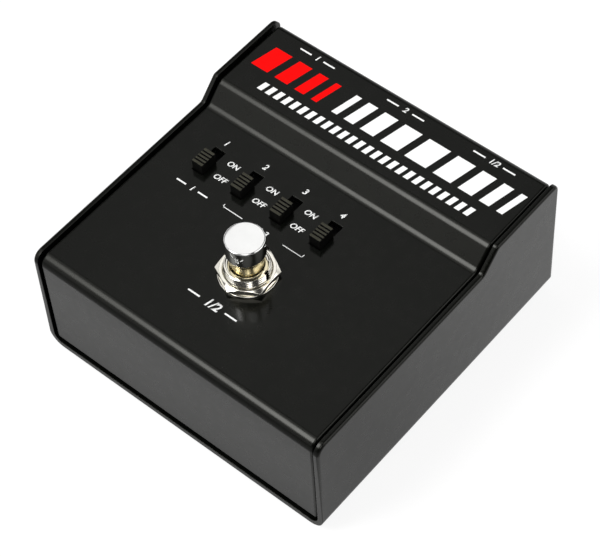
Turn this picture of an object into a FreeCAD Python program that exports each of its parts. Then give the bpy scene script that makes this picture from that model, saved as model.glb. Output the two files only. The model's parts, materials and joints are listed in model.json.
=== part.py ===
"""Two-channel selector footswitch in a folded steel case, as separate pieces.

Millimetres, +Z up, +Y to the rear. The origin is the middle of the underside
of the rubber pad, on the floor that the box stands on.
"""
import FreeCAD, Part
import math
import os
import re
import Sketcher

DRIVING = {
    # folded case
    "case_depth": 92,
    "low_height": 36.2,
    "high_height": 41.8,
    "slope_start": 15.9,
    "sheet": 1.5,
    "floor_bend": 4.3,
    "plate_front_corner": 3,
    "plate_rear_corner": 2.25,
    "slope_corner": 1.5,
    "rim": 0.4,
    "upper_rim": 0.7,
    "side_gap": 0.65,
    "cover_bend": 3,
    "cover_rear_bend": 2,
    "foot_gap": 1.9,
    # rubber pad
    "pad_thick": 1.6,
    "pad_inset": 3,
    "pad_corner": 5,
    "pad_screw_gap": 2,
    # brackets and screws that join cover and floor
    "bracket_length": 62,
    "bracket_height": 5.2,
    "bracket_depth": 11,
    "cover_screw_pitch": 50,
    "cover_screw_inset": 6.5,
    "screw_size": 3,
    "screw_land": 0.2,
    "screw_length": 6,
    "screw_play": 0.05,
    "fit_play": 0.05,
    # stomp switch
    "switch_x": 0,
    "switch_y": -17.7,
    "bushing_size": 11.8,
    "bushing_bore": 8.7,
    "bushing_rise": 4.2,
    "bushing_drop": 9.9,
    "bushing_chamfer": 0.35,
    "bushing_play": 0.2,
    "keyway_width": 1.4,
    "keyway_depth": 0.9,
    "keyway_land": 1,
    "washer_size": 15,
    "washer_thick": 0.5,
    "nut_flats": 14,
    "nut_thick": 1.8,
    "nut_crown": 0.2,
    "lock_washer_size": 14,
    "lock_washer_thick": 0.6,
    "lock_washer_slit": 1,
    "lower_nut_thick": 2,
    "thread_play": 0.05,
    "frame_width": 17.4,
    "frame_leg_width": 12.4,
    "frame_sheet": 1,
    "frame_leg": 7,
    "moulding_width": 16.4,
    "moulding_height": 12,
    "lug_width": 2.2,
    "lug_thick": 0.8,
    "lug_pitch_x": 5.2,
    "lug_pitch_y": 4.8,
    "lug_tail": 0.8,
    # plunger, its spring and ring
    "cap_size": 10,
    "cap_rise": 14,
    "cap_height": 5,
    "cap_round": 0.6,
    "neck_height": 1.8,
    "stem_play": 0.1,
    "stem_drop": 2,
    "plunger_rod": 3.2,
    "plunger_rod_drop": 14.5,
    "plunger_rod_play": 0.3,
    "press_travel": 3,
    "clip_size": 6.4,
    "clip_thick": 0.6,
    "clip_groove": 0.4,
    "clip_play": 0.1,
    "well_play": 0.8,
    "spring_wire": 0.7,
    "spring_turns": 4.5,
    "spring_play": 0.35,
    # slide switches
    "slide_edge": 14.6,
    "slide_pitch": 12.6,
    "slide_y": 2.55,
    "slide_travel": 3.3,
    "knob_width": 3.4,
    "knob_length": 5.1,
    "knob_rise": 3.2,
    "knob_rib_pitch": 1.02,
    "knob_rib_depth": 0.45,
    "slot_play": 0.3,
    "slot_side_play": 0.1,
    "window_play": 0.2,
    "slide_case_width": 7.4,
    "slide_case_length": 13,
    "slide_case_height": 6,
    "slide_case_wall": 0.4,
    "carriage_width": 5.6,
    "carriage_length": 7.6,
    "carriage_thick": 2.4,
    "slide_gap": 0.1,
    "slide_base_thick": 3,
    "slide_pin": 0.7,
    "slide_pin_row": 3.6,
    "pin_tail": 1.2,
    "pin_play": 0.25,
    # boards
    "board_thick": 1.6,
    "control_margin": 0.9,
    "control_depth": 21,
    "standoff_size": 5,
    "standoff_floor": 1,
    "standoff_offset": 25.6,
    "board_screw_head": 5.5,
    "board_screw_head_height": 2,
    "bracket_gap": 0.7,
    "board_side_gap": 2.5,
    "main_board_front": -29,
    "main_board_gap": 4.2,
    # rear sockets
    "flange_width": 26,
    "flange_space": 1.9,
    "flange_margin": 1.95,
    "flange_height": 31,
    "flange_corner": 2,
    "barrel_size": 23.6,
    "barrel_length": 13,
    "barrel_play": 0.2,
    "barrel_wall": 2.2,
    "ring_gap": 1.7,
    "insert_recess": 0.5,
    "housing_width": 21,
    "housing_rise": 10.5,
    "tail_depth": 2,
    "combo_tail_pitch": 7.5,
    "combo_tail_inset": 5,
    "jack_size": 6.5,
    "jack_depth": 29,
    "jack_end_wall": 1,
    "contact_circle": 10,
    "contact_angle": 25,
    "contact_hole": 2.9,
    "contact_width": 1.6,
    "contact_thick": 0.3,
    "contact_rise": 0.25,
    "contact_depth": 12,
    "contact_set_back": 2.5,
    "latch_width": 6,
    "latch_thick": 1.2,
    "latch_inset": 1.8,
    "latch_length": 11,
    "latch_proud": 1,
    "latch_travel": 1.2,
    "latch_play": 0.1,
    "latch_side_play": 0.2,
    "latch_end_play": 0.3,
    "output_wall": 3.6,
    "output_depth": 12.6,
    "output_pin": 2.4,
    "output_pin_recess": 0.8,
    "output_block": 8,
    "port_screw_x": 9.5,
    "port_screw_z": 12,
    "port_screw_length": 7,
    # parts on the boards
    "resistor_width": 1.6,
    "resistor_length": 3.2,
    "resistor_height": 0.6,
    "resistor_pitch": 4,
    "resistor_x": 24,
    "resistor_first_y": -6,
    "header_width": 17,
    "header_depth": 3.4,
    "header_height": 3,
    "header_y": 9.6,
    "ribbon_width": 15.2,
    "ribbon_thick": 0.9,
    "ribbon_bow": 1.6,
}

DERIVED = {
    "floor_top": "pad_thick + sheet",
    "low_top": "pad_thick + low_height",
    "high_top": "pad_thick + high_height",
    "slope_end": "slope_start + high_height - low_height",
    "deck": "low_top - rim",
    "upper_deck": "high_top - upper_rim",
    "deck_under": "deck - sheet",
    "cover_width": "3 * flange_width + 2 * flange_space + 2 * flange_margin",
    "case_width": "cover_width + 2 * (side_gap + sheet)",
    "cover_front": "rim - case_depth / 2",
    "cover_rear": "case_depth / 2 - rim",
    "cover_foot": "floor_top + foot_gap",
    "cover_slope_start": "slope_start + rim * tan(22.5)",
    "cover_slope_end": "cover_slope_start + upper_deck - deck",
    "inner_front": "cover_front + sheet",
    "inner_rear": "cover_rear - sheet",
    "screw_y_front": "inner_front + cover_screw_inset",
    "screw_y_rear": "inner_rear - cover_screw_inset",
    "sink_depth": "sheet - screw_land",
    "screw_head": "screw_size + 2 * sink_depth",
    "flange_thick": "sheet",
    "washer_top": "deck + washer_thick",
    "bushing_top": "deck + bushing_rise",
    "bushing_low": "deck - bushing_drop",
    "moulding_top": "bushing_low - frame_sheet",
    "moulding_low": "moulding_top - moulding_height",
    "cap_top": "deck + cap_rise",
    "stem_size": "bushing_bore - 2 * stem_play",
    "stem_low": "deck - stem_drop",
    "clip_top": "moulding_top - clip_play",
    "rod_hole": "plunger_rod + 2 * plunger_rod_play",
    "slot_width": "knob_width + 2 * slot_side_play",
    "slot_length": "knob_length + slide_travel + 2 * slot_play",
    "slide_case_low": "deck_under - slide_case_height",
    "carriage_top": "deck_under - slide_case_wall - slide_gap",
    "slide_first_x": "slide_edge - case_width / 2",
    "control_x": "slide_first_x + 1.5 * slide_pitch",
    "control_width": "2 * (standoff_offset + standoff_size / 2 + control_margin)",
    "control_top": "slide_case_low",
    "control_low": "control_top - board_thick",
    "main_board_width": "case_width - 2 * sheet - 2 * board_side_gap",
    "main_board_low": "floor_top + bracket_height + bracket_gap",
    "main_board_top": "main_board_low + board_thick",
    "main_board_rear": "inner_rear - main_board_gap",
    "port_pitch": "flange_width + flange_space",
    "port_height": "main_board_top + barrel_play + barrel_size / 2",
    "port_face": "cover_rear + flange_thick",
    "mouth_size": "barrel_size - 2 * barrel_wall",
    "insert_size": "mouth_size - 2 * ring_gap",
    "output_bore": "barrel_size - 2 * output_wall",
    "insert_face": "port_face - insert_recess",
    "barrel_end": "cover_rear - barrel_length",
    "combo_end": "insert_face - jack_depth - jack_end_wall",
    "output_floor": "port_face - output_depth",
    "output_end": "barrel_end - output_block",
    "latch_low": "port_height + barrel_size / 2 - latch_inset",
    "latch_reach": "latch_length - latch_proud + latch_travel + latch_end_play",
}

CHORDS_PER_TURN = 12
SCREW_SIDES = 12
PAST = 1  # how far a cutting shape runs past the face it opens

NODES = []
doc = FreeCAD.newDocument("footswitch")
sheet = doc.addObject("Spreadsheet::Sheet", "Sizes")


def fill_sheet():
    """Driving sizes are plain numbers and the derived ones are formulas."""
    row = 1
    for name, value in DRIVING.items():
        sheet.set(f"A{row}", name)
        sheet.set(f"B{row}", str(value))
        sheet.setAlias(f"B{row}", name)
        row += 1
    for name, formula in DERIVED.items():
        sheet.set(f"A{row}", name)
        sheet.set(f"B{row}", "=" + formula)
        sheet.setAlias(f"B{row}", name)
        row += 1
    doc.recompute()


def linked(formula):
    """The formula with each size name pointing at its cell."""
    def cell(match):
        word = match.group(0)
        known = word in DRIVING or word in DERIVED
        return "Sizes." + word if known else word
    return re.sub(r"[a-z][a-z_]*", cell, str(formula))


def value(formula):
    """The number that a formula of size names gives now."""
    probe = doc.addObject("App::FeaturePython", "probe")
    probe.addProperty("App::PropertyFloat", "result")
    probe.setExpression("result", linked(formula))
    probe.recompute()
    number = probe.result
    doc.removeObject(probe.Name)
    return number


def bind(item, **formulas):
    """Tie properties to formulas, x, y and z meaning the item's place."""
    places = {"x": "Placement.Base.x", "y": "Placement.Base.y", "z": "Placement.Base.z"}
    for name, formula in formulas.items():
        item.setExpression(places.get(name, name), linked(formula))


def node(name, item):
    """Mark an object as a finished piece, written under this name."""
    item.Label = name
    NODES.append(item)
    return item


# Part primitives and booleans

def block(name, width, depth, height, x, y, z):
    """A box centred on x and y that stands on z."""
    item = doc.addObject("Part::Box", name)
    bind(item, Length=width, Width=depth, Height=height)
    bind(item, x=f"({x}) - ({width}) / 2", y=f"({y}) - ({depth}) / 2", z=z)
    return item


def turned(item, axis):
    """Point a primitive's own Z along the row axis named."""
    turns = {
        "z": FreeCAD.Rotation(),
        "x": FreeCAD.Rotation(FreeCAD.Vector(0, 1, 0), 90),
        "-y": FreeCAD.Rotation(FreeCAD.Vector(1, 0, 0), 90),
    }
    item.Placement = FreeCAD.Placement(FreeCAD.Vector(), turns[axis])


def rod(name, size, length, x, y, z, axis="z"):
    """A cylinder by its diameter, starting at a point and running along axis."""
    item = doc.addObject("Part::Cylinder", name)
    turned(item, axis)
    bind(item, Radius=f"({size}) / 2", Height=length, x=x, y=y, z=z)
    return item


def cone(name, size_low, size_high, length, x, y, z, axis="z"):
    """A cone by its two diameters."""
    item = doc.addObject("Part::Cone", name)
    turned(item, axis)
    bind(item, Radius1=f"({size_low}) / 2", Radius2=f"({size_high}) / 2", Height=length)
    bind(item, x=x, y=y, z=z)
    return item


def bar(name, flats, length, x, y, z, axis="z", sides=6, turn=0):
    """A bar with flat sides by its width across flats."""
    item = doc.addObject("Part::Prism", name)
    item.Polygon = sides
    turned(item, axis)
    spin = FreeCAD.Rotation(FreeCAD.Vector(0, 0, 1), turn)
    item.Placement.Rotation = item.Placement.Rotation.multiply(spin)
    bind(item, Circumradius=f"({flats}) / 2 / cos({180 / sides})", Height=length, x=x, y=y, z=z)
    return item


def joined(name, pieces):
    """One solid out of pieces that overlap or meet."""
    item = doc.addObject("Part::MultiFuse", name)
    item.Shapes = pieces
    item.Refine = True
    return item


def group(name, pieces):
    """Separate solids that share one node."""
    item = doc.addObject("Part::Compound", name)
    item.Links = pieces
    return item


def cut(name, base, tools):
    """The base with the tools taken away."""
    item = doc.addObject("Part::Cut", name)
    item.Base = base
    item.Tool = tools[0] if len(tools) == 1 else joined(name + "_tools", tools)
    item.Refine = True
    return item


def common(name, first, second):
    """What two shapes share."""
    item = doc.addObject("Part::Common", name)
    item.Base = first
    item.Tool = second
    return item


def tube(name, size, bore, length, x, y, z, axis="z"):
    """A ring or sleeve."""
    outer = rod(name + "_outer", size, length, x, y, z, axis)
    inner = rod(name + "_bore", bore, length, x, y, z, axis)
    return cut(name, outer, [inner])


def bevelled(name, base, radius, wanted):
    """Bevel the edges that a test picks."""
    doc.recompute()
    item = doc.addObject("Part::Chamfer", name)
    item.Base = base
    size = value(radius)
    edges = []
    for number, edge in enumerate(base.Shape.Edges, 1):
        if wanted(edge):
            edges.append((number, size, size))
    item.Edges = edges
    return item


# PartDesign bodies and sketches

def new_body(name, x=0, y=0):
    """A body whose own origin stands at x and y."""
    body = doc.addObject("PartDesign::Body", name)
    bind(body, x=x, y=y)
    return body


def new_sketch(body, name, role, lift=None):
    """A sketch on one of the body's own planes, raised if asked."""
    sketch = body.newObject("Sketcher::SketchObject", name)
    plane = [item for item in body.Origin.OriginFeatures if item.Role == role][0]
    sketch.AttachmentSupport = [(plane, "")]
    sketch.MapMode = "FlatFace"
    if lift is not None:
        sketch.setExpression("AttachmentOffset.Base.z", linked(lift))
    return sketch


def pin_point(sketch, geometry, point, across, up, label):
    """Fix a point of the sketch at two formulas."""
    for kind, formula in (("DistanceX", across), ("DistanceY", up)):
        number = value(formula)
        rule = Sketcher.Constraint(kind, -1, 1, geometry, point, number)
        index = sketch.addConstraint(rule)
        word = "along_" + kind[-1].lower() + "_" + label
        sketch.renameConstraint(index, word)
        sketch.setExpression("Constraints." + word, linked(formula))


def outline(sketch, corners, label=""):
    """A closed outline of straight lines through corners given as formulas."""
    first = sketch.GeometryCount
    spots = [FreeCAD.Vector(value(across), value(up), 0) for across, up in corners]
    count = len(spots)
    for index in range(count):
        line = Part.LineSegment(spots[index], spots[(index + 1) % count])
        sketch.addGeometry(line, False)
    for index in range(count):
        following = first + (index + 1) % count
        sketch.addConstraint(Sketcher.Constraint("Coincident", first + index, 2, following, 1))
    for index, (across, up) in enumerate(corners):
        pin_point(sketch, first + index, 1, across, up, f"{label}{index}")


def oblong(sketch, width, height, across="0", up="0", label=""):
    """A rectangle about a centre."""
    left = f"({across}) - ({width}) / 2"
    right = f"({across}) + ({width}) / 2"
    low = f"({up}) - ({height}) / 2"
    high = f"({up}) + ({height}) / 2"
    outline(sketch, [(left, low), (right, low), (right, high), (left, high)], label)


def ring(sketch, size, across="0", up="0", label=""):
    """A circle by its diameter."""
    centre = FreeCAD.Vector(value(across), value(up), 0)
    normal = FreeCAD.Vector(0, 0, 1)
    radius = value(f"({size}) / 2")
    index = sketch.addGeometry(Part.Circle(centre, normal, radius), False)
    pin_point(sketch, index, 3, across, up, label)
    rule = sketch.addConstraint(Sketcher.Constraint("Radius", index, radius))
    word = "radius" + label
    sketch.renameConstraint(rule, word)
    sketch.setExpression("Constraints." + word, linked(f"({size}) / 2"))


def pad(body, name, sketch, length, both_ways=False):
    """Raise a sketch into a solid."""
    feature = body.newObject("PartDesign::Pad", name)
    feature.Profile = sketch
    feature.SideType = "Symmetric" if both_ways else "One side"
    bind(feature, Length=length)
    doc.recompute()
    return feature


def pocket(body, name, sketch, length=None, reverse=False, both_ways=False):
    """Cut a sketch out of the body, right through if no length is given."""
    before = body.Shape.Volume
    feature = body.newObject("PartDesign::Pocket", name)
    feature.Profile = sketch
    feature.Reversed = reverse
    if both_ways:
        feature.SideType = "Symmetric"
    if length is None:
        feature.Type = "ThroughAll"
    else:
        bind(feature, Length=length)
    doc.recompute()
    if before - feature.Shape.Volume < 1e-6:
        raise RuntimeError(name + " cuts nothing")
    return feature


def revolved(body, name, sketch):
    """Turn a half outline about the body's own Z."""
    feature = body.newObject("PartDesign::Revolution", name)
    feature.Profile = sketch
    feature.ReferenceAxis = (sketch, ["V_Axis"])
    feature.Angle = 360
    doc.recompute()
    return feature


def edges_of(shape, wanted):
    """Names of the edges that a test picks."""
    return [f"Edge{n}" for n, edge in enumerate(shape.Edges, 1) if wanted(edge)]


def fillet(body, name, base, radius, wanted):
    """Round edges of a body."""
    feature = body.newObject("PartDesign::Fillet", name)
    feature.Base = (base, edges_of(base.Shape, wanted))
    bind(feature, Radius=radius)
    doc.recompute()
    return feature


def near(first, second):
    """Two lengths that are the same within a hundredth."""
    return abs(first - second) < 0.01


def along_x(edge):
    """A straight edge that runs along X."""
    straight = isinstance(edge.Curve, Part.Line)
    return straight and abs(edge.tangentAt(edge.FirstParameter).x) > 0.99


def upright(edge):
    """A straight edge that runs along Z."""
    straight = isinstance(edge.Curve, Part.Line)
    return straight and abs(edge.tangentAt(edge.FirstParameter).z) > 0.99


# The folded case

def chassis_base():
    """Floor and side plates folded from one sheet, the plates cut to the side view."""
    body = new_body("folded_base")
    section = new_sketch(body, "base_section", "XZ_Plane")
    half = "case_width / 2"
    wall = "case_width / 2 - sheet"
    outline(section, [
        ("-(" + half + ")", "pad_thick"), (half, "pad_thick"),
        (half, "high_top"), (wall, "high_top"), (wall, "floor_top"),
        ("-(" + wall + ")", "floor_top"), ("-(" + wall + ")", "high_top"),
        ("-(" + half + ")", "high_top")])
    folded = pad(body, "base_fold", section, "case_depth", both_ways=True)
    step = new_sketch(body, "plate_step", "YZ_Plane")
    outline(step, [
        (f"-case_depth / 2 - {PAST}", "low_top"), ("slope_start", "low_top"),
        ("slope_end", "high_top"), ("slope_end", f"high_top + {PAST}"),
        (f"-case_depth / 2 - {PAST}", f"high_top + {PAST}")])
    trimmed = pocket(body, "plate_outline", step, length=f"case_width + 2 * {PAST}",
                     both_ways=True)

    low = value("pad_thick")
    floor = value("floor_top")

    def outer_fold(edge):
        middle = edge.CenterOfMass
        lengthwise = abs(edge.tangentAt(edge.FirstParameter).y) > 0.99
        return lengthwise and near(middle.z, low)

    def inner_fold(edge):
        middle = edge.CenterOfMass
        lengthwise = abs(edge.tangentAt(edge.FirstParameter).y) > 0.99
        return lengthwise and near(middle.z, floor) and near(abs(middle.x), value(wall))

    outside = fillet(body, "outer_bend", trimmed, "floor_bend", outer_fold)
    inside = fillet(body, "inner_bend", outside, "floor_bend - sheet", inner_fold)
    end = value("case_depth / 2")
    low_top = value("low_top")
    high_top = value("high_top")

    def front_corner(edge):
        middle = edge.CenterOfMass
        return along_x(edge) and near(middle.y, -end) and near(middle.z, low_top)

    def rear_corner(edge):
        middle = edge.CenterOfMass
        return along_x(edge) and near(middle.y, end) and near(middle.z, high_top)

    def slope_bends(edge):
        middle = edge.CenterOfMass
        foot = near(middle.y, value("slope_start")) and near(middle.z, low_top)
        head = near(middle.y, value("slope_end")) and near(middle.z, high_top)
        return along_x(edge) and (foot or head)

    front = fillet(body, "front_corners", inside, "plate_front_corner", front_corner)
    rear = fillet(body, "rear_corners", front, "plate_rear_corner", rear_corner)
    fillet(body, "slope_corners", rear, "slope_corner", slope_bends)
    sinks = []
    for label, across, along in cover_screw_places():
        sinks.append(sunk_head("sink" + label, "screw_play", across, along, "pad_thick"))
    node("chassis_base", cut("base_with_sinks", body, sinks))


def cover_screw_places():
    """A letter and the two formulas of each cover screw's place."""
    half = "cover_screw_pitch / 2"
    return [
        ("a", "-" + half, "screw_y_front"),
        ("b", half, "screw_y_front"),
        ("c", "-" + half, "screw_y_rear"),
        ("d", half, "screw_y_rear"),
    ]


def port_places():
    """The letter and the X formula of each rear socket, seen from above."""
    return [("a", "-port_pitch"), ("b", "0"), ("out", "port_pitch")]


def top_cover():
    """Front, lower deck, slope, upper deck and rear, shelled out of one block."""
    body = new_body("folded_cover")
    side = new_sketch(body, "cover_side", "YZ_Plane")
    outline(side, [
        ("cover_front", "cover_foot"), ("cover_rear", "cover_foot"),
        ("cover_rear", "upper_deck"), ("cover_slope_end", "upper_deck"),
        ("cover_slope_start", "deck"), ("cover_front", "deck")])
    solid = pad(body, "cover_block", side, "cover_width", both_ways=True)
    foot = value("cover_foot")
    rear = value("cover_rear")

    def rear_bend(edge):
        middle = edge.CenterOfMass
        return along_x(edge) and near(middle.y, rear) and not near(middle.z, foot)

    def other_bend(edge):
        middle = edge.CenterOfMass
        return along_x(edge) and not near(middle.y, rear) and not near(middle.z, foot)

    others = fillet(body, "cover_bends", solid, "cover_bend", other_bend)
    bends = fillet(body, "rear_bend", others, "cover_rear_bend", rear_bend)
    shell = body.newObject("PartDesign::Thickness", "cover_shell")
    open_faces = []
    for number, face in enumerate(bends.Shape.Faces, 1):
        normal = face.normalAt(0, 0)
        if abs(normal.x) > 0.99 or normal.z < -0.99:
            open_faces.append(f"Face{number}")
    shell.Base = (bends, open_faces)
    shell.Reversed = True
    bind(shell, Value="sheet")
    doc.recompute()
    deck_holes = new_sketch(body, "deck_hole", "XY_Plane", "deck")
    ring(deck_holes, "bushing_size + 2 * bushing_play", "switch_x", "switch_y")
    pocket(body, "bushing_hole", deck_holes, length=f"sheet + {PAST}")
    slot = new_sketch(body, "slide_slot", "XY_Plane", "deck")
    oblong(slot, "slot_width", "slot_length", "slide_first_x", "slide_y")
    first_slot = pocket(body, "slide_slot_cut", slot, length=f"sheet + {PAST}")
    row = body.newObject("PartDesign::LinearPattern", "slide_slots")
    row.Originals = [first_slot]
    row.Direction = (slot, ["H_Axis"])
    row.Occurrences = 4
    bind(row, Length="3 * slide_pitch")
    body.Tip = row
    doc.recompute()
    rear = new_sketch(body, "rear_holes", "XZ_Plane")
    for label, across in port_places():
        ring(rear, "barrel_size + 2 * barrel_play", across, "port_height", label)
    rear.setExpression("AttachmentOffset.Base.z", linked(f"{PAST} - inner_rear"))
    pocket(body, "rear_port_holes", rear, length=f"sheet + 2 * {PAST}")
    tapped = []
    for label, across, up in port_screw_places():
        tapped.append(bar("tapped" + label, "screw_size + 2 * screw_play",
                          f"sheet + 2 * {PAST}", across, f"cover_rear + {PAST}", up, "-y",
                          sides=SCREW_SIDES))
    node("top_cover", cut("cover_tapped", body, tapped))


def port_screw_places():
    """Two screws on the diagonal of each socket flange."""
    places = []
    for label, across in port_places():
        places.append((label + "high", f"{across} + port_screw_x", "port_height + port_screw_z"))
        places.append((label + "low", f"{across} - port_screw_x", "port_height - port_screw_z"))
    return places


def bottom_pad():
    """Rubber sheet under the floor, between the two rows of screws."""
    body = new_body("bottom_pad")
    shape = new_sketch(body, "pad_outline", "XY_Plane")
    front = "screw_y_front + screw_head / 2 + pad_screw_gap"
    rear = "screw_y_rear - screw_head / 2 - pad_screw_gap"
    oblong(shape, "case_width - 2 * pad_inset", f"({rear}) - ({front})",
           up=f"(({rear}) + ({front})) / 2")
    sheet_pad = pad(body, "pad_sheet", shape, "pad_thick")
    fillet(body, "pad_corners", sheet_pad, "pad_corner", upright)
    node("bottom_pad", body)


def bracket(name, wall, inward, holes_y):
    """Angle welded inside the cover, its foot on the floor."""
    body = new_body(name + "_bent")
    side = new_sketch(body, name + "_side", "YZ_Plane")
    outline(side, [
        (wall, "floor_top"),
        (f"{wall} + {inward} * bracket_depth", "floor_top"),
        (f"{wall} + {inward} * bracket_depth", "floor_top + sheet"),
        (f"{wall} + {inward} * sheet", "floor_top + sheet"),
        (f"{wall} + {inward} * sheet", "floor_top + bracket_height"),
        (wall, "floor_top + bracket_height")])
    angle = pad(body, name + "_angle", side, "bracket_length", both_ways=True)
    wall_y = value(wall)

    def outer(edge):
        middle = edge.CenterOfMass
        return along_x(edge) and near(middle.y, wall_y) and near(middle.z, value("floor_top"))

    fillet(body, name + "_bend", angle, "sheet", outer)
    tapped = []
    for side, sign in (("left", "-"), ("right", "+")):
        tapped.append(bar(f"{name}_tapped_{side}", "screw_size + 2 * screw_play",
                          f"sheet + 2 * {PAST}", f"{sign} cover_screw_pitch / 2", holes_y,
                          f"floor_top - {PAST}", sides=SCREW_SIDES))
    node(name, cut(name + "_tapped", body, tapped))


def sunk_head(name, play, x, y, z, axis="z"):
    """Countersunk head drawn with few flat sides, or its hole when given some play."""
    blank = bar(name + "_blank", f"screw_head + 2 * ({play})", "sheet", x, y, z, axis,
                sides=SCREW_SIDES)
    far = value(f"{z} + sheet") if axis == "z" else value(f"{y} - sheet")

    def far_rim(edge):
        box = edge.BoundBox
        low, high = (box.ZMin, box.ZMax) if axis == "z" else (box.YMin, box.YMax)
        return near(low, far) and near(high, far)

    return bevelled(name, blank, "sink_depth", far_rim)


def countersunk(name, length, x, y, z, axis="z"):
    """Countersunk screw with the face of its head at the point given."""
    head = sunk_head(name + "_head", "0", x, y, z, axis)
    shank = bar(name + "_shank", "screw_size", length, x, y, z, axis, sides=SCREW_SIDES)
    return joined(name, [head, shank])


def cover_screws():
    """Screws from below, through the floor and into the brackets."""
    screws = []
    for label, across, along in cover_screw_places():
        screws.append(countersunk("cover_screw" + label, "screw_length", across, along,
                                  "pad_thick"))
    node("cover_screws", group("cover_screw_set", screws))


# The stomp switch

def plain_nut(name, thick, base):
    """A hexagon nut with a corner towards the front right."""
    blank = bar(name + "_bar", "nut_flats", thick, "switch_x", "switch_y", base, turn=33)
    hole = rod(name + "_hole", "bushing_size + 2 * thread_play", thick,
               "switch_x", "switch_y", base)
    return cut(name, blank, [hole])


def switch_nuts():
    """Nut and flat washer over the deck, spring washer and nut under it."""
    upper = plain_nut("upper_nut", "nut_thick", "washer_top")
    crown = cone("nut_crown", "nut_flats - 2 * nut_crown + 2 * nut_thick / tan(30)",
                 "nut_flats - 2 * nut_crown",
                 "nut_thick", "switch_x", "switch_y", "washer_top")
    node("switch_nut", common("upper_nut_bevelled", upper, crown))
    bore = "bushing_size + 2 * thread_play"
    node("switch_washer", tube("flat_washer", "washer_size", bore, "washer_thick",
                               "switch_x", "switch_y", "deck"))
    lock_low = "deck_under - lock_washer_thick"
    lock_ring = tube("lock_ring", "lock_washer_size", bore, "lock_washer_thick",
                     "switch_x", "switch_y", lock_low)
    slit = block("lock_slit", "washer_size", "lock_washer_slit", "lock_washer_thick",
                 "switch_x + washer_size / 2", "switch_y", lock_low)
    node("switch_lock_washer", cut("lock_split", lock_ring, [slit]))
    node("switch_lower_nut", plain_nut("lower_nut", "lower_nut_thick",
                                       lock_low + " - lower_nut_thick"))


def switch_bushing():
    """Bushing turned from one bar, with a keyway down its right side."""
    body = new_body("switch_bushing", "switch_x", "switch_y")
    half = new_sketch(body, "bushing_half", "XZ_Plane")
    outer = "bushing_size / 2"
    bore = "bushing_bore / 2"
    outline(half, [
        (bore, "bushing_low"), (outer, "bushing_low"), (outer, "bushing_top"),
        (bore + " + bushing_chamfer", "bushing_top"),
        (bore, "bushing_top - bushing_chamfer")])
    revolved(body, "bushing_turned", half)
    key = new_sketch(body, "keyway", "XY_Plane", "bushing_top")
    oblong(key, "2 * keyway_depth", "keyway_width", outer)
    pocket(body, "keyway_cut", key, length="bushing_rise + bushing_drop - keyway_land")
    node("switch_bushing", body)


def switch_frame():
    """Steel bracket over the moulded body, its two legs crimped down the sides."""
    top = block("frame_top", "frame_width", "moulding_width", "frame_sheet",
                "switch_x", "switch_y", "moulding_top")
    legs = []
    for side, sign in (("left", "-"), ("right", "+")):
        across = f"switch_x {sign} (frame_width - frame_sheet) / 2"
        legs.append(block("frame_leg_" + side, "frame_sheet", "frame_leg_width",
                          "frame_leg + frame_sheet", across, "switch_y",
                          "moulding_top - frame_leg"))
    plate = joined("frame_bent", [top] + legs)
    hole = rod("frame_hole", "rod_hole", f"frame_sheet + 2 * {PAST}", "switch_x", "switch_y",
               f"moulding_top - {PAST}")
    node("switch_frame", cut("frame_cut", plate, [hole]))


def switch_body():
    """Moulded body with the well that the plunger's rod and ring work in."""
    gap = "frame_width - 2 * (frame_sheet + fit_play)"
    solid = block("moulding", gap, "moulding_width", "moulding_height",
                  "switch_x", "switch_y", "moulding_low")
    depth = "plunger_rod_drop + press_travel + well_play - bushing_drop - frame_sheet"
    well = rod("moulding_well", "clip_size + 2 * well_play", f"{depth} + {PAST}",
               "switch_x", "switch_y", f"moulding_top - ({depth})")
    node("switch_body", cut("moulding_cut", solid, [well]))


def lug_places():
    """Three rows of three lugs under the moulded body."""
    places = []
    for row in (-1, 0, 1):
        for column in (-1, 0, 1):
            label = "abc"[row + 1] + "abc"[column + 1]
            across = f"switch_x + {column} * lug_pitch_x"
            along = f"switch_y + {row} * lug_pitch_y"
            places.append((label, across, along))
    return places


def switch_lugs():
    """Nine lugs from the moulded body down through the main board."""
    lugs = []
    length = "moulding_low - main_board_low + lug_tail"
    for label, across, along in lug_places():
        lugs.append(block("lug" + label, "lug_width", "lug_thick", length,
                          across, along, "main_board_low - lug_tail"))
    node("switch_lugs", group("lug_set", lugs))


def plunger():
    """Cap, neck, stem and rod turned as one piece, with its ring and spring."""
    body = new_body("footswitch_plunger", "switch_x", "switch_y")
    half = new_sketch(body, "plunger_half", "XZ_Plane")
    cap = "cap_size / 2"
    stem = "stem_size / 2"
    thin = "plunger_rod / 2"
    groove = "plunger_rod / 2 - clip_groove"
    neck_top = "cap_top - cap_height"
    tip = "deck - plunger_rod_drop"
    step = "cap_round * (1 - cos(45))"
    outline(half, [
        ("0", "cap_top"), (f"{cap} - cap_round", "cap_top"),
        (f"{cap} - {step}", f"cap_top - {step}"), (cap, "cap_top - cap_round"), (cap, neck_top),
        (stem, neck_top + " - neck_height"), (stem, "stem_low"), (thin, "stem_low"),
        (thin, "clip_top"), (groove, "clip_top"), (groove, "clip_top - clip_thick"),
        (thin, "clip_top - clip_thick"), (thin, tip), ("0", tip)])
    revolved(body, "plunger_turned", half)
    node("footswitch_plunger", body)
    disc = rod("clip_disc", "clip_size", "clip_thick", "switch_x", "switch_y",
               "clip_top - clip_thick")
    eye = rod("clip_eye", "plunger_rod - 2 * clip_groove + 2 * fit_play", "clip_thick",
              "switch_x", "switch_y", "clip_top - clip_thick")
    gap = block("clip_gap", "clip_size", "plunger_rod - 2 * clip_groove - 4 * fit_play", "clip_thick",
                "switch_x + clip_size / 2", "switch_y", "clip_top - clip_thick")
    node("plunger_clip", cut("clip_cut", disc, [eye, gap]))


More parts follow.
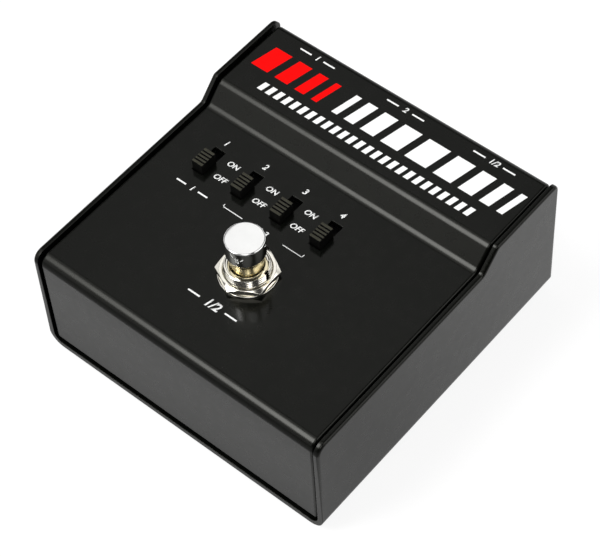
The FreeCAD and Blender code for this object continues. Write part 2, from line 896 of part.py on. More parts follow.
def plunger_spring():
    """Open coil between the frame and the foot of the stem, in straight chords."""
    radius = value("bushing_bore / 2 - spring_play - spring_wire / 2")
    low = value("bushing_low + spring_wire / 2 + fit_play")
    rise = value("stem_low - bushing_low - spring_wire - 2 * fit_play")
    middle = FreeCAD.Vector(value("switch_x"), value("switch_y"), low)
    count = round(value("spring_turns") * CHORDS_PER_TURN)
    points = []
    for step in range(count + 1):
        angle = 2 * math.pi * step / CHORDS_PER_TURN
        spot = FreeCAD.Vector(radius * math.cos(angle), radius * math.sin(angle),
                              rise * step / count)
        points.append(middle + spot)
    coil = doc.addObject("Part::Polygon", "spring_line")
    coil.Nodes = points
    wire = doc.addObject("Part::RegularPolygon", "spring_section")
    wire.Polygon = 6
    bind(wire, Circumradius="spring_wire / 2")
    facing = FreeCAD.Rotation(FreeCAD.Vector(0, 0, 1), points[1] - points[0])
    wire.Placement = FreeCAD.Placement(points[0], facing)
    doc.recompute()
    sweep = doc.addObject("Part::Sweep", "spring_sweep")
    sweep.Sections = [wire]
    sweep.Spine = (coil, [f"Edge{n}" for n in range(1, count + 1)])
    sweep.Solid = True
    sweep.Transition = "Right corner"
    node("plunger_spring", sweep)


# The slide switches

def slide_x(number):
    """Formula for the X of slide switch 1 to 4."""
    return f"slide_first_x + {number - 1} * slide_pitch"


def slide_knob(number):
    """Ribbed knob, its shank and the carriage that slides in the case."""
    name = f"slide_knob_{number}"
    body = new_body(name, slide_x(number), "slide_y - slide_travel / 2")
    plan = new_sketch(body, name + "_plan", "XY_Plane", "carriage_top - carriage_thick")
    oblong(plan, "carriage_width", "carriage_length")
    pad(body, name + "_carriage", plan, "carriage_thick")
    top = new_sketch(body, name + "_top", "XY_Plane", "carriage_top")
    oblong(top, "knob_width", "knob_length")
    pad(body, name + "_shank", top, "deck + knob_rise - carriage_top")
    side = new_sketch(body, name + "_groove", "YZ_Plane")
    across = "-knob_length / 2 + knob_rib_pitch"
    outline(side, [
        (across + " - knob_rib_depth / 2", "deck + knob_rise"),
        (across, "deck + knob_rise - knob_rib_depth"),
        (across + " + knob_rib_depth / 2", "deck + knob_rise")])
    first = pocket(body, name + "_rib_cut", side, length=f"knob_width + 2 * {PAST}", both_ways=True)
    ribs = body.newObject("PartDesign::LinearPattern", name + "_ribs")
    ribs.Originals = [first]
    ribs.Direction = (side, ["H_Axis"])
    ribs.Occurrences = 4
    bind(ribs, Length="3 * knob_rib_pitch")
    body.Tip = ribs
    doc.recompute()
    node(name, body)


def slide_case(number):
    """Folded steel case with the window for the knob."""
    name = f"slide_case_{number}"
    x = slide_x(number)
    outer = block(name + "_outer", "slide_case_width", "slide_case_length",
                  "slide_case_height", x, "slide_y", "slide_case_low")
    room = block(name + "_room", "slide_case_width - 2 * slide_case_wall",
                 "slide_case_length - 2 * slide_case_wall",
                 "slide_case_height - slide_case_wall", x, "slide_y", "slide_case_low")
    window = block(name + "_window", "slot_width + 2 * window_play",
                   "slot_length + 2 * window_play", "2 * slide_case_wall",
                   x, "slide_y", "deck_under - 1.5 * slide_case_wall")
    node(name, cut(name + "_cut", outer, [room, window]))


def slide_base(number):
    """Contact board that closes the case."""
    name = f"slide_base_{number}"
    node(name, block(name, "slide_case_width - 2 * (slide_case_wall + fit_play)",
                     "slide_case_length - 2 * (slide_case_wall + fit_play)",
                     "slide_base_thick",
                     slide_x(number), "slide_y", "slide_case_low"))


def slide_pin_places(number):
    """Two rows of three pins under a slide switch."""
    places = []
    for row in (-1, 1):
        for column in (-1, 0, 1):
            label = f"{'ab'[row > 0]}{'abc'[column + 1]}{'abcd'[number - 1]}"
            across = f"{slide_x(number)} + {row} * slide_pin_row / 2"
            along = f"slide_y + {column} * slide_travel"
            places.append((label, across, along))
    return places


def slide_pins():
    """All the pins, from the contact boards down through the control board."""
    pins = []
    for number in (1, 2, 3, 4):
        for label, across, along in slide_pin_places(number):
            pins.append(block("pin" + label, "slide_pin", "slide_pin", "board_thick + pin_tail",
                              across, along, "control_low - pin_tail"))
    node("slide_pins", group("pin_set", pins))


# Boards and what is on them

def pin_holes(name, width, depth, places, low):
    """Rectangular holes through a board for flat pins."""
    holes = []
    for label, across, along in places:
        holes.append(block(name + label, f"{width} + 2 * pin_play", f"{depth} + 2 * pin_play",
                           f"board_thick + 2 * {PAST}", across, along, f"{low} - {PAST}"))
    return holes


def control_board():
    """Board under the deck that the slide switches are soldered to."""
    blank = block("control_blank", "control_width", "control_depth", "board_thick",
                  "control_x", "slide_y", "control_low")
    holes = []
    for number in (1, 2, 3, 4):
        holes += pin_holes("control_hole", "slide_pin", "slide_pin",
                           slide_pin_places(number), "control_low")
    for side, sign in (("left", "-"), ("right", "+")):
        holes.append(bar("control_screw_hole_" + side, "screw_size + 2 * pin_play",
                         f"board_thick + 2 * {PAST}", f"control_x {sign} standoff_offset",
                         "slide_y", f"control_low - {PAST}", sides=SCREW_SIDES))
    node("control_board", cut("control_cut", blank, holes))


def control_fixings():
    """Standoffs pressed into the deck, and the screws that hold the board to them."""
    standoffs = []
    screws = []
    for side, sign in (("left", "-"), ("right", "+")):
        across = f"control_x {sign} standoff_offset"
        outer = bar("standoff_" + side, "standoff_size", "slide_case_height",
                    across, "slide_y", "slide_case_low")
        hole = bar("standoff_bore_" + side, "screw_size + 2 * screw_play",
                   "slide_case_height - standoff_floor", across, "slide_y", "slide_case_low",
                   sides=SCREW_SIDES)
        standoffs.append(cut("standoff_cut_" + side, outer, [hole]))
        head = bar("board_screw_head_" + side, "board_screw_head", "board_screw_head_height",
                   across, "slide_y", "control_low - board_screw_head_height")
        shank = bar("board_screw_shank_" + side, "screw_size",
                    "board_thick + slide_case_height - 2 * standoff_floor", across, "slide_y",
                    "control_low",
                    sides=SCREW_SIDES)
        screws.append(joined("board_screw_" + side, [head, shank]))
    node("control_standoffs", group("standoff_set", standoffs))
    node("control_screws", group("board_screw_set", screws))


def main_board():
    """Board that the rear sockets stand on and the stomp switch is soldered to."""
    blank = block("main_blank", "main_board_width", "main_board_rear - main_board_front",
                  "board_thick", "0", "(main_board_rear + main_board_front) / 2",
                  "main_board_low")
    holes = pin_holes("lug_hole", "lug_width", "lug_thick", lug_places(), "main_board_low")
    holes += pin_holes("tail_hole", "slide_pin", "slide_pin", socket_tail_places(),
                       "main_board_low")
    node("main_board", cut("main_cut", blank, holes))


def combo_tail_places(letter, across):
    """Six solder tails under an input socket, in two rows."""
    places = []
    for row in (0, 1):
        for column in (-1, 0, 1):
            label = letter + "ab"[row] + "abc"[column + 1]
            places.append((label, f"{across} + {column} * combo_tail_pitch",
                           f"barrel_end - combo_tail_inset - {row} * combo_tail_pitch"))
    return places


def contact_places():
    """The three contact positions about a socket's middle: a letter, X and Z."""
    radius = "contact_circle / 2"
    return [
        ("a", f"{radius} * cos(contact_angle)", f"{radius} * sin(contact_angle)"),
        ("b", f"-{radius} * cos(contact_angle)", f"{radius} * sin(contact_angle)"),
        ("c", "0", f"-{radius}"),
    ]


def output_tail_places():
    """The solder tails of the output socket, one under each pin."""
    places = []
    for label, across, up in contact_places():
        places.append(("out" + label, f"port_pitch + {across}", "output_end - slide_pin / 2"))
    return places


def socket_tail_places():
    """Every solder tail of the rear sockets."""
    first = combo_tail_places("a", "-port_pitch")
    second = combo_tail_places("b", "0")
    return first + second + output_tail_places()


def pad_resistors():
    """A row of chip resistors on the main board."""
    chips = []
    for number in range(6):
        along = f"resistor_first_y + {number} * resistor_pitch"
        chips.append(block("resistor" + "abcdef"[number], "resistor_length", "resistor_width",
                           "resistor_height", "resistor_x", along, "main_board_top"))
    node("pad_resistors", group("resistor_set", chips))


def ribbon():
    """Flat cable with a header at each end, between the two boards."""
    upper = block("header_upper", "header_width", "header_depth", "header_height",
                  "control_x", "header_y", "control_low - header_height")
    lower = block("header_lower", "header_width", "header_depth", "header_height",
                  "control_x", "header_y", "main_board_top")
    node("ribbon_headers", group("header_set", [upper, lower]))
    body = new_body("ribbon_cable", "control_x")
    side = new_sketch(body, "ribbon_side", "YZ_Plane")
    low = "main_board_top + header_height"
    high = "control_low - header_height"
    half = "ribbon_thick / 2"
    middle = f"({low} + {high}) / 2"
    outline(side, [
        (f"header_y - {half}", low), (f"header_y + {half}", low),
        (f"header_y + {half} - ribbon_bow", middle), (f"header_y + {half}", high),
        (f"header_y - {half}", high), (f"header_y - {half} - ribbon_bow", middle)])
    pad(body, "ribbon_strip", side, "ribbon_width", both_ways=True)
    node("ribbon_cable", body)


# The rear sockets

def flange(name, across):
    """The socket's front plate, its corners bevelled."""
    plate = block(name, "flange_width", "flange_thick", "flange_height", across,
                  "cover_rear + flange_thick / 2", "port_height - flange_height / 2")

    def corner(edge):
        return abs(edge.tangentAt(edge.FirstParameter).y) > 0.99

    return bevelled(name + "_bevelled", plate, "flange_corner", corner)


def flange_sinks(name, across):
    """Countersunk holes for the two screws of a socket."""
    holes = []
    for label, sign in (("high", "+"), ("low", "-")):
        holes.append(sunk_head(f"{name}_sink_{label}", "screw_play",
                               f"{across} {sign} port_screw_x", "port_face",
                               f"port_height {sign} port_screw_z", "-y"))
    return holes


def shell(name, across, bore, openings):
    """Flange and barrel of a socket, open from front to back."""
    barrel = rod(name + "_barrel", "barrel_size", "barrel_length", across,
                 "cover_rear", "port_height", "-y")
    solid = joined(name + "_solid", [flange(name + "_flange", across), barrel])
    mouth = rod(name + "_mouth", bore, f"barrel_length + flange_thick + 2 * {PAST}",
                across, f"port_face + {PAST}", "port_height", "-y")
    return cut(name + "_cut", solid, [mouth] + openings + flange_sinks(name, across))


def combo_shell(letter, across):
    """Shell of an input socket, with the latch's channel at the top."""
    name = "combo_shell_" + letter
    width = "latch_width + 2 * latch_side_play"
    window = block(name + "_window", width, f"flange_thick + 2 * {PAST}",
                   "latch_thick + 2 * latch_play", across, "port_face - flange_thick / 2",
                   "latch_low - latch_play")
    channel = block(name + "_channel", width, "latch_reach - flange_thick",
                    f"latch_inset + latch_play + {PAST}", across,
                    "cover_rear - (latch_reach - flange_thick) / 2", "latch_low - latch_play")
    node(name, shell(name, across, "mouth_size", [window, channel]))


def contact_holes(name, across, size, depth):
    """Three holes into a socket's face."""
    holes = []
    for label, aside, up in contact_places():
        holes.append(bar(f"{name}_hole_{label}", size, depth, f"{across} + {aside}",
                         "insert_face", f"port_height + {up}", "-y", sides=SCREW_SIDES))
    return holes


def combo_insert(letter, across):
    """Nose with the three contact holes round the hole for a 6.35 mm plug."""
    name = "combo_insert_" + letter
    nose = rod(name + "_nose", "insert_size", "insert_face - barrel_end",
               across, "insert_face", "port_height", "-y")
    jack = rod(name + "_jack", "jack_size", "insert_face - barrel_end", across,
               "insert_face", "port_height", "-y")
    holes = contact_holes(name, across, "contact_hole", "contact_depth")
    node(name, cut(name + "_cut", nose, [jack] + holes))


def combo_housing(letter, across):
    """Block that closes the barrel and holds the end of a 6.35 mm plug."""
    name = "combo_housing_" + letter
    solid = block(name + "_block", "housing_width", "barrel_end - combo_end",
                  "port_height + housing_rise - main_board_top", across,
                  "(barrel_end + combo_end) / 2", "main_board_top")
    holes = [rod(name + "_jack", "jack_size", "jack_depth - (insert_face - barrel_end)",
                 across, "barrel_end", "port_height", "-y")]
    for label, aside, along in combo_tail_places(letter, across):
        holes.append(block(f"{name}_tail_{label}", "slide_pin + 2 * fit_play",
                           "slide_pin + 2 * fit_play", "tail_depth", aside, along, "main_board_top"))
    node(name, cut(name + "_cut", solid, holes))


def combo_contacts(letter, across):
    """Flat contacts in the nose, and the solder tails under the housing."""
    name = "combo_contacts_" + letter
    parts = []
    length = "contact_depth - contact_set_back"
    for label, aside, up in contact_places():
        parts.append(block(f"{name}_{label}", "contact_width", length, "contact_thick",
                           f"{across} + {aside}", f"insert_face - contact_depth + ({length}) / 2",
                           f"port_height + {up} - contact_hole / 2 + contact_rise"))
    for label, aside, along in combo_tail_places(letter, across):
        parts.append(block(f"{name}_tail_{label}", "slide_pin", "slide_pin",
                           "board_thick + pin_tail + tail_depth - fit_play", aside, along,
                           "main_board_low - pin_tail"))
    node(name, group(name + "_set", parts))


def combo_latch(letter, across):
    """Release tab, pushed towards the panel to free a plug."""
    name = "combo_latch_" + letter
    node(name, block(name, "latch_width", "latch_length", "latch_thick", across,
                     "port_face + latch_proud - latch_length / 2", "latch_low"))


def output_socket():
    """Male output socket: shell, insert and its three pins bent down to the board."""
    across = "port_pitch"
    node("output_shell", shell("output_shell", across, "output_bore", []))
    disc = rod("output_disc", "output_bore - 2 * fit_play", "output_floor - barrel_end", across,
               "output_floor", "port_height", "-y")
    base = block("output_housing", "housing_width", "output_block",
                 "port_height + housing_rise - main_board_top", across,
                 "(barrel_end + output_end) / 2", "main_board_top")
    holes = []
    pins = []
    length = "port_face - output_pin_recess - output_end + slide_pin"
    for label, aside, up in contact_places():
        holes.append(bar("output_hole" + label, "output_pin + 2 * fit_play",
                         f"output_floor - output_end + 2 * {PAST}", f"{across} + {aside}",
                         f"output_floor + {PAST}", f"port_height + {up}", "-y",
                         sides=SCREW_SIDES))
        prong = rod("output_prong" + label, "output_pin", length, f"{across} + {aside}",
                    "port_face - output_pin_recess", f"port_height + {up}", "-y")
        tail = block("output_tail" + label, "slide_pin", "slide_pin",
                     f"port_height + {up} - main_board_low + pin_tail",
                     f"{across} + {aside}", "output_end - slide_pin / 2",
                     "main_board_low - pin_tail")
        pins.append(joined("output_pin" + label, [prong, tail]))
    node("output_insert", cut("output_insert_cut", joined("output_moulding", [disc, base]), holes))
    node("output_pins", group("output_pin_set", pins))


def connector_screws():
    """Countersunk screws through the flanges and into the panel."""
    screws = []
    for label, across, up in port_screw_places():
        screws.append(countersunk("port_screw" + label, "port_screw_length", across,
                                  "port_face", up, "-y"))
    node("connector_screws", group("port_screw_set", screws))


def build():
    """Make every piece."""
    fill_sheet()
    chassis_base()
    top_cover()
    bottom_pad()
    bracket("bracket_front", "inner_front", "1", "screw_y_front")
    bracket("bracket_rear", "inner_rear", "-1", "screw_y_rear")
    cover_screws()
    switch_nuts()
    switch_bushing()
    switch_frame()
    switch_body()
    switch_lugs()
    plunger()
    plunger_spring()
    for number in (1, 2, 3, 4):
        slide_knob(number)
        slide_case(number)
        slide_base(number)
    slide_pins()
    control_board()
    control_fixings()
    main_board()
    pad_resistors()
    ribbon()
    for letter, across in port_places()[:2]:
        combo_shell(letter, across)
        combo_insert(letter, across)
        combo_housing(letter, across)
        combo_contacts(letter, across)
        combo_latch(letter, across)
    output_socket()
    connector_screws()
    doc.recompute()


def check():
    """Stop if any object failed or any piece is empty or broken."""
    for item in doc.Objects:
        for word in item.State:
            if word in ("Invalid", "Error"):
                raise RuntimeError(f"{item.Name} is {word}")
    for item in NODES:
        shape = item.Shape
        if shape.isNull() or not shape.isValid() or not shape.Solids:
            raise RuntimeError(f"{item.Label} has no good shape")


def write():
    """Write each piece to its own file."""
    os.makedirs("parts", exist_ok=True)
    for item in NODES:
        item.Shape.exportStep(f"parts/{item.Label}.step")
        print(f"{item.Label}: {len(item.Shape.Solids)} solids, {item.Shape.Volume:.1f} mm3")


build()
check()
write()
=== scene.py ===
"""Looks of the two-channel selector footswitch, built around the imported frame.

Metres, +Z up, +Y to the rear, in the frame of the CAD model.
"""

import bmesh
import bpy
import json
import math
from mathutils import Matrix, Vector


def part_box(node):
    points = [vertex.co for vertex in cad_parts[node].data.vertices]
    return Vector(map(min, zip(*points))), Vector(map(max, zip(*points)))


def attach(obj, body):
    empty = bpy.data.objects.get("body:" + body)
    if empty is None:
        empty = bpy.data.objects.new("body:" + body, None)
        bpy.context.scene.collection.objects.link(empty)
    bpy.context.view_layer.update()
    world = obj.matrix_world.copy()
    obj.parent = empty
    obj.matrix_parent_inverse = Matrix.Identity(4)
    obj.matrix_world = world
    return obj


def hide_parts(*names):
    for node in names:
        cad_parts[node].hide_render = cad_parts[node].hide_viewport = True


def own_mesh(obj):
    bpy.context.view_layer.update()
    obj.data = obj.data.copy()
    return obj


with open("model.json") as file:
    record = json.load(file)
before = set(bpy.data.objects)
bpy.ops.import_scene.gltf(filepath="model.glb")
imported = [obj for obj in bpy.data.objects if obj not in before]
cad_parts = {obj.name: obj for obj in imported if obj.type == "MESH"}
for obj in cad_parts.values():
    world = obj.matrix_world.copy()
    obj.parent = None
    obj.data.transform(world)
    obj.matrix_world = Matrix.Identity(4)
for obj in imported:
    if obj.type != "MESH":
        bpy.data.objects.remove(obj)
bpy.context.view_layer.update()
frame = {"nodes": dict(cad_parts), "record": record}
MM = 0.001

# Places that the pieces here are set out from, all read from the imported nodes.
bushing_low, bushing_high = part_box("switch_bushing")
SWITCH_X = (bushing_low.x + bushing_high.x) / 2
SWITCH_Y = (bushing_low.y + bushing_high.y) / 2
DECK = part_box("switch_washer")[0].z
UPPER_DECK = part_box("top_cover")[1].z
SLOTS = {entry["node"]: entry["material_slot"] for entry in frame["record"]["subparts"]}


# Shader nodes

EDGE_SAMPLES = 8
EDGE_GAIN = 5.0  # how fast the mask of worn edges rises as the surface turns


class Tree:
    """Adds nodes to one material or world and joins them."""

    def __init__(self, name, kind="materials"):
        self.owner = getattr(bpy.data, kind).new(name)
        self.owner.use_nodes = True
        self.nodes = self.owner.node_tree.nodes
        self.links = self.owner.node_tree.links
        self.shader = self.nodes.get("Principled BSDF")

    def add(self, kind, **settings):
        made = self.nodes.new("ShaderNode" + kind)
        for name, value in settings.items():
            setattr(made, name, value)
        return made

    def feed(self, source, target):
        """Join an output to an input, or set the input to a plain value."""
        if isinstance(source, bpy.types.NodeSocket):
            self.links.new(source, target)
        else:
            target.default_value = source

    def maths(self, operation, first, second=0.0, clamp=False):
        made = self.add("Math", operation=operation, use_clamp=clamp)
        self.feed(first, made.inputs[0])
        self.feed(second, made.inputs[1])
        return made.outputs[0]

    def dot(self, first, second):
        made = self.add("VectorMath", operation="DOT_PRODUCT")
        self.feed(first, made.inputs[0])
        self.feed(second, made.inputs[1])
        return made.outputs["Value"]

    def noise(self, size, detail=2.0, stretch=(1, 1, 1), offset=0.0):
        """Noise whose features are about size across, in object space."""
        place = self.add("TexCoord").outputs["Object"]
        mapping = self.add("Mapping")
        mapping.inputs["Scale"].default_value = stretch
        mapping.inputs["Location"].default_value = (offset, offset, offset)
        self.feed(place, mapping.inputs["Vector"])
        made = self.add("TexNoise")
        made.inputs["Scale"].default_value = 1 / size
        made.inputs["Detail"].default_value = detail
        self.feed(mapping.outputs[0], made.inputs["Vector"])
        return made.outputs[0]

    def spread(self, source, low, high, start=0.3, end=0.7):
        """Map start..end, where most of a noise lies, to low..high."""
        made = self.add("MapRange")
        self.feed(source, made.inputs["Value"])
        made.inputs["From Min"].default_value = start
        made.inputs["From Max"].default_value = end
        made.inputs["To Min"].default_value = low
        made.inputs["To Max"].default_value = high
        return made.outputs[0]

    def blend(self, factor, first, second):
        """A number that is first where the factor is 0 and second where it is 1."""
        made = self.add("Mix", data_type="FLOAT")
        self.feed(factor, made.inputs["Factor"])
        self.feed(first, made.inputs[2])
        self.feed(second, made.inputs[3])
        return made.outputs[0]

    def mixed(self, factor, first, second):
        """The same for colours."""
        made = self.add("Mix", data_type="RGBA")
        self.feed(factor, made.inputs["Factor"])
        self.feed(first, made.inputs[6])
        self.feed(second, made.inputs[7])
        return made.outputs[2]

    def bumped(self, height, depth, normal):
        made = self.add("Bump")
        made.inputs["Strength"].default_value = 1.0
        made.inputs["Distance"].default_value = depth
        self.feed(height, made.inputs["Height"])
        self.feed(normal, made.inputs["Normal"])
        return made.outputs[0]

    def edges(self, width):
        """Normal rounded over edges, and a mask that is 1 on them."""
        rounded = self.add("Bevel", samples=EDGE_SAMPLES)
        self.feed(width, rounded.inputs["Radius"])
        true_normal = self.add("NewGeometry").outputs["Normal"]
        same = self.dot(rounded.outputs[0], true_normal)
        away = self.maths("SUBTRACT", 1.0, same, clamp=True)
        return rounded.outputs[0], self.maths("MULTIPLY", away, EDGE_GAIN, clamp=True)


def rgb(colour):
    return (*colour, 1.0)


def grey(level):
    return (level, level, level, 1.0)


def finish(name, colour, other, rough, metallic=0.0, specular=0.5, coat=(0.0, 0.1),
           blotch=6, grain=(), worn=None, wear=0.5, edge=0.15, stretch=(1, 1, 1),
           streak=None, shine=(1, 1, 1), painted_top_light=None):
    """A surface with colour and roughness that vary, grain, and worn edges.

    Lengths are in mm. Colour and roughness wander between two values each, in
    blotches. coat is the weight and roughness of a clear layer. grain holds
    pairs of feature size and depth. worn is the colour that shows on rubbed
    edges. stretch draws out the grain, and streak the roughness into tool
    marks. The last colour is painted light from above, laid on the upward faces to make
    the tops lighter.
    """
    tree = Tree(name)
    inputs = tree.shader.inputs
    blotch = blotch * MM
    normal, edge_mask = tree.edges(edge * MM)
    mottle = tree.spread(tree.noise(blotch, detail=3.0), 0.0, 1.0)
    tint = tree.mixed(mottle, rgb(colour), rgb(other))
    if worn is not None:
        broken = tree.spread(tree.noise(blotch / 5, detail=4.0, offset=0.3), 0.2, 1.0)
        rubbed = tree.maths("MULTIPLY", edge_mask, broken)
        rubbed = tree.maths("MULTIPLY", rubbed, wear, clamp=True)
        tint = tree.mixed(rubbed, tint, rgb(worn))
    # Painted light: the upward faces take a lighter colour, as tops lit from above.
    if painted_top_light is not None:
        facing = tree.add("SeparateXYZ")
        tree.feed(tree.add("NewGeometry").outputs["Normal"], facing.inputs[0])
        top_light_mask = tree.spread(facing.outputs["Z"], 0.0, 1.0, start=0.85, end=0.97)
        tint = tree.mixed(top_light_mask, tint, rgb(painted_top_light))
    tree.feed(tint, inputs["Base Color"])
    fine = tree.noise(blotch / 3, detail=4.0, stretch=streak or stretch, offset=0.7)
    tree.feed(tree.spread(fine, *rough), inputs["Roughness"])
    for size, depth in grain:
        normal = tree.bumped(tree.noise(size * MM, stretch=stretch), depth * MM, normal)
    tree.feed(normal, inputs["Normal"])
    inputs["Metallic"].default_value = metallic
    inputs["Specular IOR Level"].default_value = specular
    inputs["Specular Tint"].default_value = rgb(shine)
    inputs["Coat Weight"].default_value = coat[0]
    inputs["Coat Roughness"].default_value = coat[1]
    return tree.owner


def circuit_board():
    """Green lacquer over copper tracks, with a weave that shows through."""
    tree = Tree("circuit_lacquer")
    soft_normal, edge_mask = tree.edges(0.1 * MM)
    place = tree.add("TexCoord").outputs["Object"]
    tracks = tree.add("TexBrick", offset=0.5, squash=1.6, squash_frequency=3)
    tracks.inputs["Scale"].default_value = 1 / (5 * MM)
    tracks.inputs["Mortar Size"].default_value = 0.06
    tracks.inputs["Mortar Smooth"].default_value = 0.2
    tree.feed(place, tracks.inputs["Vector"])
    weave = tree.noise(0.6 * MM, detail=1.0, stretch=(1, 4, 1))
    weave = tree.spread(weave, 0.0, 1.0)
    lacquer = tree.mixed(weave, rgb((0.006, 0.075, 0.028)), rgb((0.010, 0.10, 0.038)))
    over_copper = rgb((0.03, 0.17, 0.06))
    bare_edge = rgb((0.30, 0.27, 0.14))
    tint = tree.mixed(tracks.outputs["Fac"], lacquer, over_copper)
    tree.feed(tree.mixed(edge_mask, tint, bare_edge), tree.shader.inputs["Base Color"])
    rough = tree.spread(tree.noise(2 * MM), 0.24, 0.36)
    tree.feed(rough, tree.shader.inputs["Roughness"])
    raised = tree.bumped(tracks.outputs["Fac"], 0.03 * MM, soft_normal)
    tree.feed(tree.bumped(weave, 0.003 * MM, raised), tree.shader.inputs["Normal"])
    return tree.owner


# The finish of each material slot
FINISHES = {
    "case_black": finish(
        "case_powder", (0.0008, 0.0011, 0.0007), (0.0015, 0.0018, 0.0013),
        (0.26, 0.31), specular=0.165, coat=(0.16, 0.09), blotch=9,
        worn=(0.010, 0.010, 0.009), edge=0.25, grain=((1.1, 0.003), (0.22, 0.003)),
        shine=(1.0, 1.0, 0.9)),
    "bracket_black": finish(
        "bracket_powder", (0.006, 0.006, 0.006), (0.011, 0.011, 0.010),
        (0.38, 0.5), specular=0.3, blotch=5, worn=(0.05, 0.05, 0.05),
        grain=((0.3, 0.006),)),
    "pad_rubber": finish(
        "pad_rubber", (0.008, 0.008, 0.008), (0.018, 0.018, 0.017),
        (0.72, 0.9), specular=0.3, blotch=7, worn=(0.04, 0.04, 0.04),
        grain=((0.5, 0.05), (0.15, 0.01))),
    "black_screw": finish(
        "black_oxide", (0.010, 0.010, 0.011), (0.022, 0.021, 0.020),
        (0.25, 0.42), metallic=0.6, blotch=1.5, worn=(0.25, 0.24, 0.23),
        wear=0.6, edge=0.08, grain=((0.12, 0.002),)),
    "zinc": finish(
        "zinc_plate", (0.52, 0.53, 0.55), (0.66, 0.65, 0.60),
        (0.28, 0.42), metallic=1.0, blotch=2.5, worn=(0.75, 0.75, 0.74),
        edge=0.1, grain=((0.2, 0.002),)),
    "nickel": finish(
        "nickel_plate", (0.90, 0.87, 0.77), (0.95, 0.92, 0.84),
        (0.06, 0.15), metallic=1.0, blotch=3, worn=(0.96, 0.94, 0.87),
        edge=0.12, streak=(1, 1, 9), grain=((0.6, 0.0012),)),
    "plunger_chrome": finish(
        "chrome_plate", (0.88, 0.88, 0.87), (0.92, 0.92, 0.91),
        (0.03, 0.08), metallic=1.0, blotch=4, worn=(0.95, 0.95, 0.94),
        edge=0.12, streak=(1, 1, 12), grain=((0.9, 0.0008),)),
    "spring_steel": finish(
        "spring_steel", (0.40, 0.41, 0.43), (0.55, 0.55, 0.55),
        (0.22, 0.36), metallic=1.0, blotch=1.5, worn=(0.7, 0.7, 0.7),
        edge=0.06, grain=((0.15, 0.002),)),
    "switch_plastic": finish(
        "switch_moulding", (0.035, 0.055, 0.13), (0.05, 0.075, 0.17),
        (0.4, 0.55), blotch=4, worn=(0.12, 0.15, 0.25), wear=0.4,
        grain=((0.25, 0.006),)),
    "tinned_brass": finish(
        "tinned_brass", (0.62, 0.60, 0.55), (0.74, 0.70, 0.58),
        (0.24, 0.4), metallic=1.0, blotch=1.2, worn=(0.8, 0.77, 0.66),
        edge=0.06, grain=((0.2, 0.003),)),
    # The knob tops are painted lighter here, a painted highlight of the light from
    # above.
    "knob_black": finish(
        "knob_moulding", (0.0007, 0.0007, 0.0006), (0.0013, 0.0012, 0.0010),
        (0.44, 0.54), specular=0.12, blotch=2, worn=(0.022, 0.020, 0.016),
        wear=0.4, edge=0.06, grain=((0.18, 0.003),), painted_top_light=(0.042, 0.041, 0.030)),
    "slide_steel": finish(
        "slide_case_steel", (0.50, 0.50, 0.50), (0.62, 0.61, 0.58),
        (0.25, 0.4), metallic=1.0, blotch=2, worn=(0.72, 0.72, 0.70),
        streak=(1, 14, 1), edge=0.08, grain=((0.2, 0.002),)),
    # Partly painted shade: the board is a dark laminate, painted near black to stand
    # for the shade in the slots round the knobs.
    "slide_board": finish(
        "laminate_painted_shade", (0.004, 0.004, 0.004), (0.008, 0.0075, 0.007),
        (0.5, 0.65), specular=0.3, blotch=1.4, worn=(0.02, 0.018, 0.015),
        stretch=(1, 6, 1), grain=((0.2, 0.008),)),
    "resistor_body": finish(
        "resistor_ceramic", (0.015, 0.015, 0.016), (0.03, 0.03, 0.03),
        (0.3, 0.45), blotch=0.8, worn=(0.4, 0.4, 0.38), wear=0.8,
        edge=0.06, grain=((0.1, 0.003),)),
    "header_black": finish(
        "header_moulding", (0.014, 0.014, 0.015), (0.026, 0.026, 0.026),
        (0.42, 0.58), blotch=1.5, worn=(0.08, 0.08, 0.08), wear=0.4,
        grain=((0.2, 0.006),)),
    "ribbon_grey": finish(
        "ribbon_insulation", (0.30, 0.30, 0.30), (0.40, 0.40, 0.39),
        (0.45, 0.6), blotch=2, worn=(0.5, 0.5, 0.5), wear=0.3,
        grain=((0.3, 0.01),)),
    "shell_black": finish(
        "shell_lacquer", (0.007, 0.007, 0.0075), (0.012, 0.012, 0.012),
        (0.26, 0.38), specular=0.45, blotch=4, worn=(0.16, 0.155, 0.15),
        edge=0.12, grain=((0.35, 0.006),)),
    "insert_black": finish(
        "insert_moulding", (0.012, 0.012, 0.013), (0.020, 0.020, 0.020),
        (0.42, 0.56), blotch=3, worn=(0.07, 0.07, 0.07), wear=0.4,
        edge=0.1, grain=((0.25, 0.006),)),
    "latch_black": finish(
        "latch_moulding", (0.016, 0.016, 0.017), (0.028, 0.028, 0.028),
        (0.34, 0.48), blotch=1.5, worn=(0.1, 0.1, 0.1), edge=0.08,
        grain=((0.2, 0.005),)),
    "pin_silver": finish(
        "silver_plate", (0.78, 0.76, 0.72), (0.88, 0.86, 0.81),
        (0.12, 0.24), metallic=1.0, blotch=1.5, worn=(0.92, 0.9, 0.86),
        edge=0.08, streak=(1, 8, 1), grain=((0.2, 0.0015),)),
    "board_green": circuit_board(),
}
FINISHES["bushing_gold"] = FINISHES["nickel"]

# The neck of the cap and the bore of the bushing
GOLD = finish(
    "gold_plate", (0.94, 0.86, 0.62), (0.97, 0.91, 0.72),
    (0.10, 0.2), metallic=1.0, blotch=2, worn=(0.95, 0.88, 0.68),
    edge=0.1, streak=(1, 1, 8), grain=((0.4, 0.001),))
INK_WHITE = finish(
    "ink_white", (0.90, 0.91, 0.90), (0.95, 0.95, 0.94),
    (0.4, 0.55), specular=0.3, blotch=1.2, edge=0.01, grain=((0.2, 0.003),))
INK_RED = finish(
    "ink_red", (0.92, 0.001, 0.001), (0.98, 0.002, 0.002),
    (0.5, 0.65), specular=0.08, blotch=1.2, edge=0.01, grain=((0.2, 0.003),))


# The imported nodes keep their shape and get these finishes, some with softened edges.

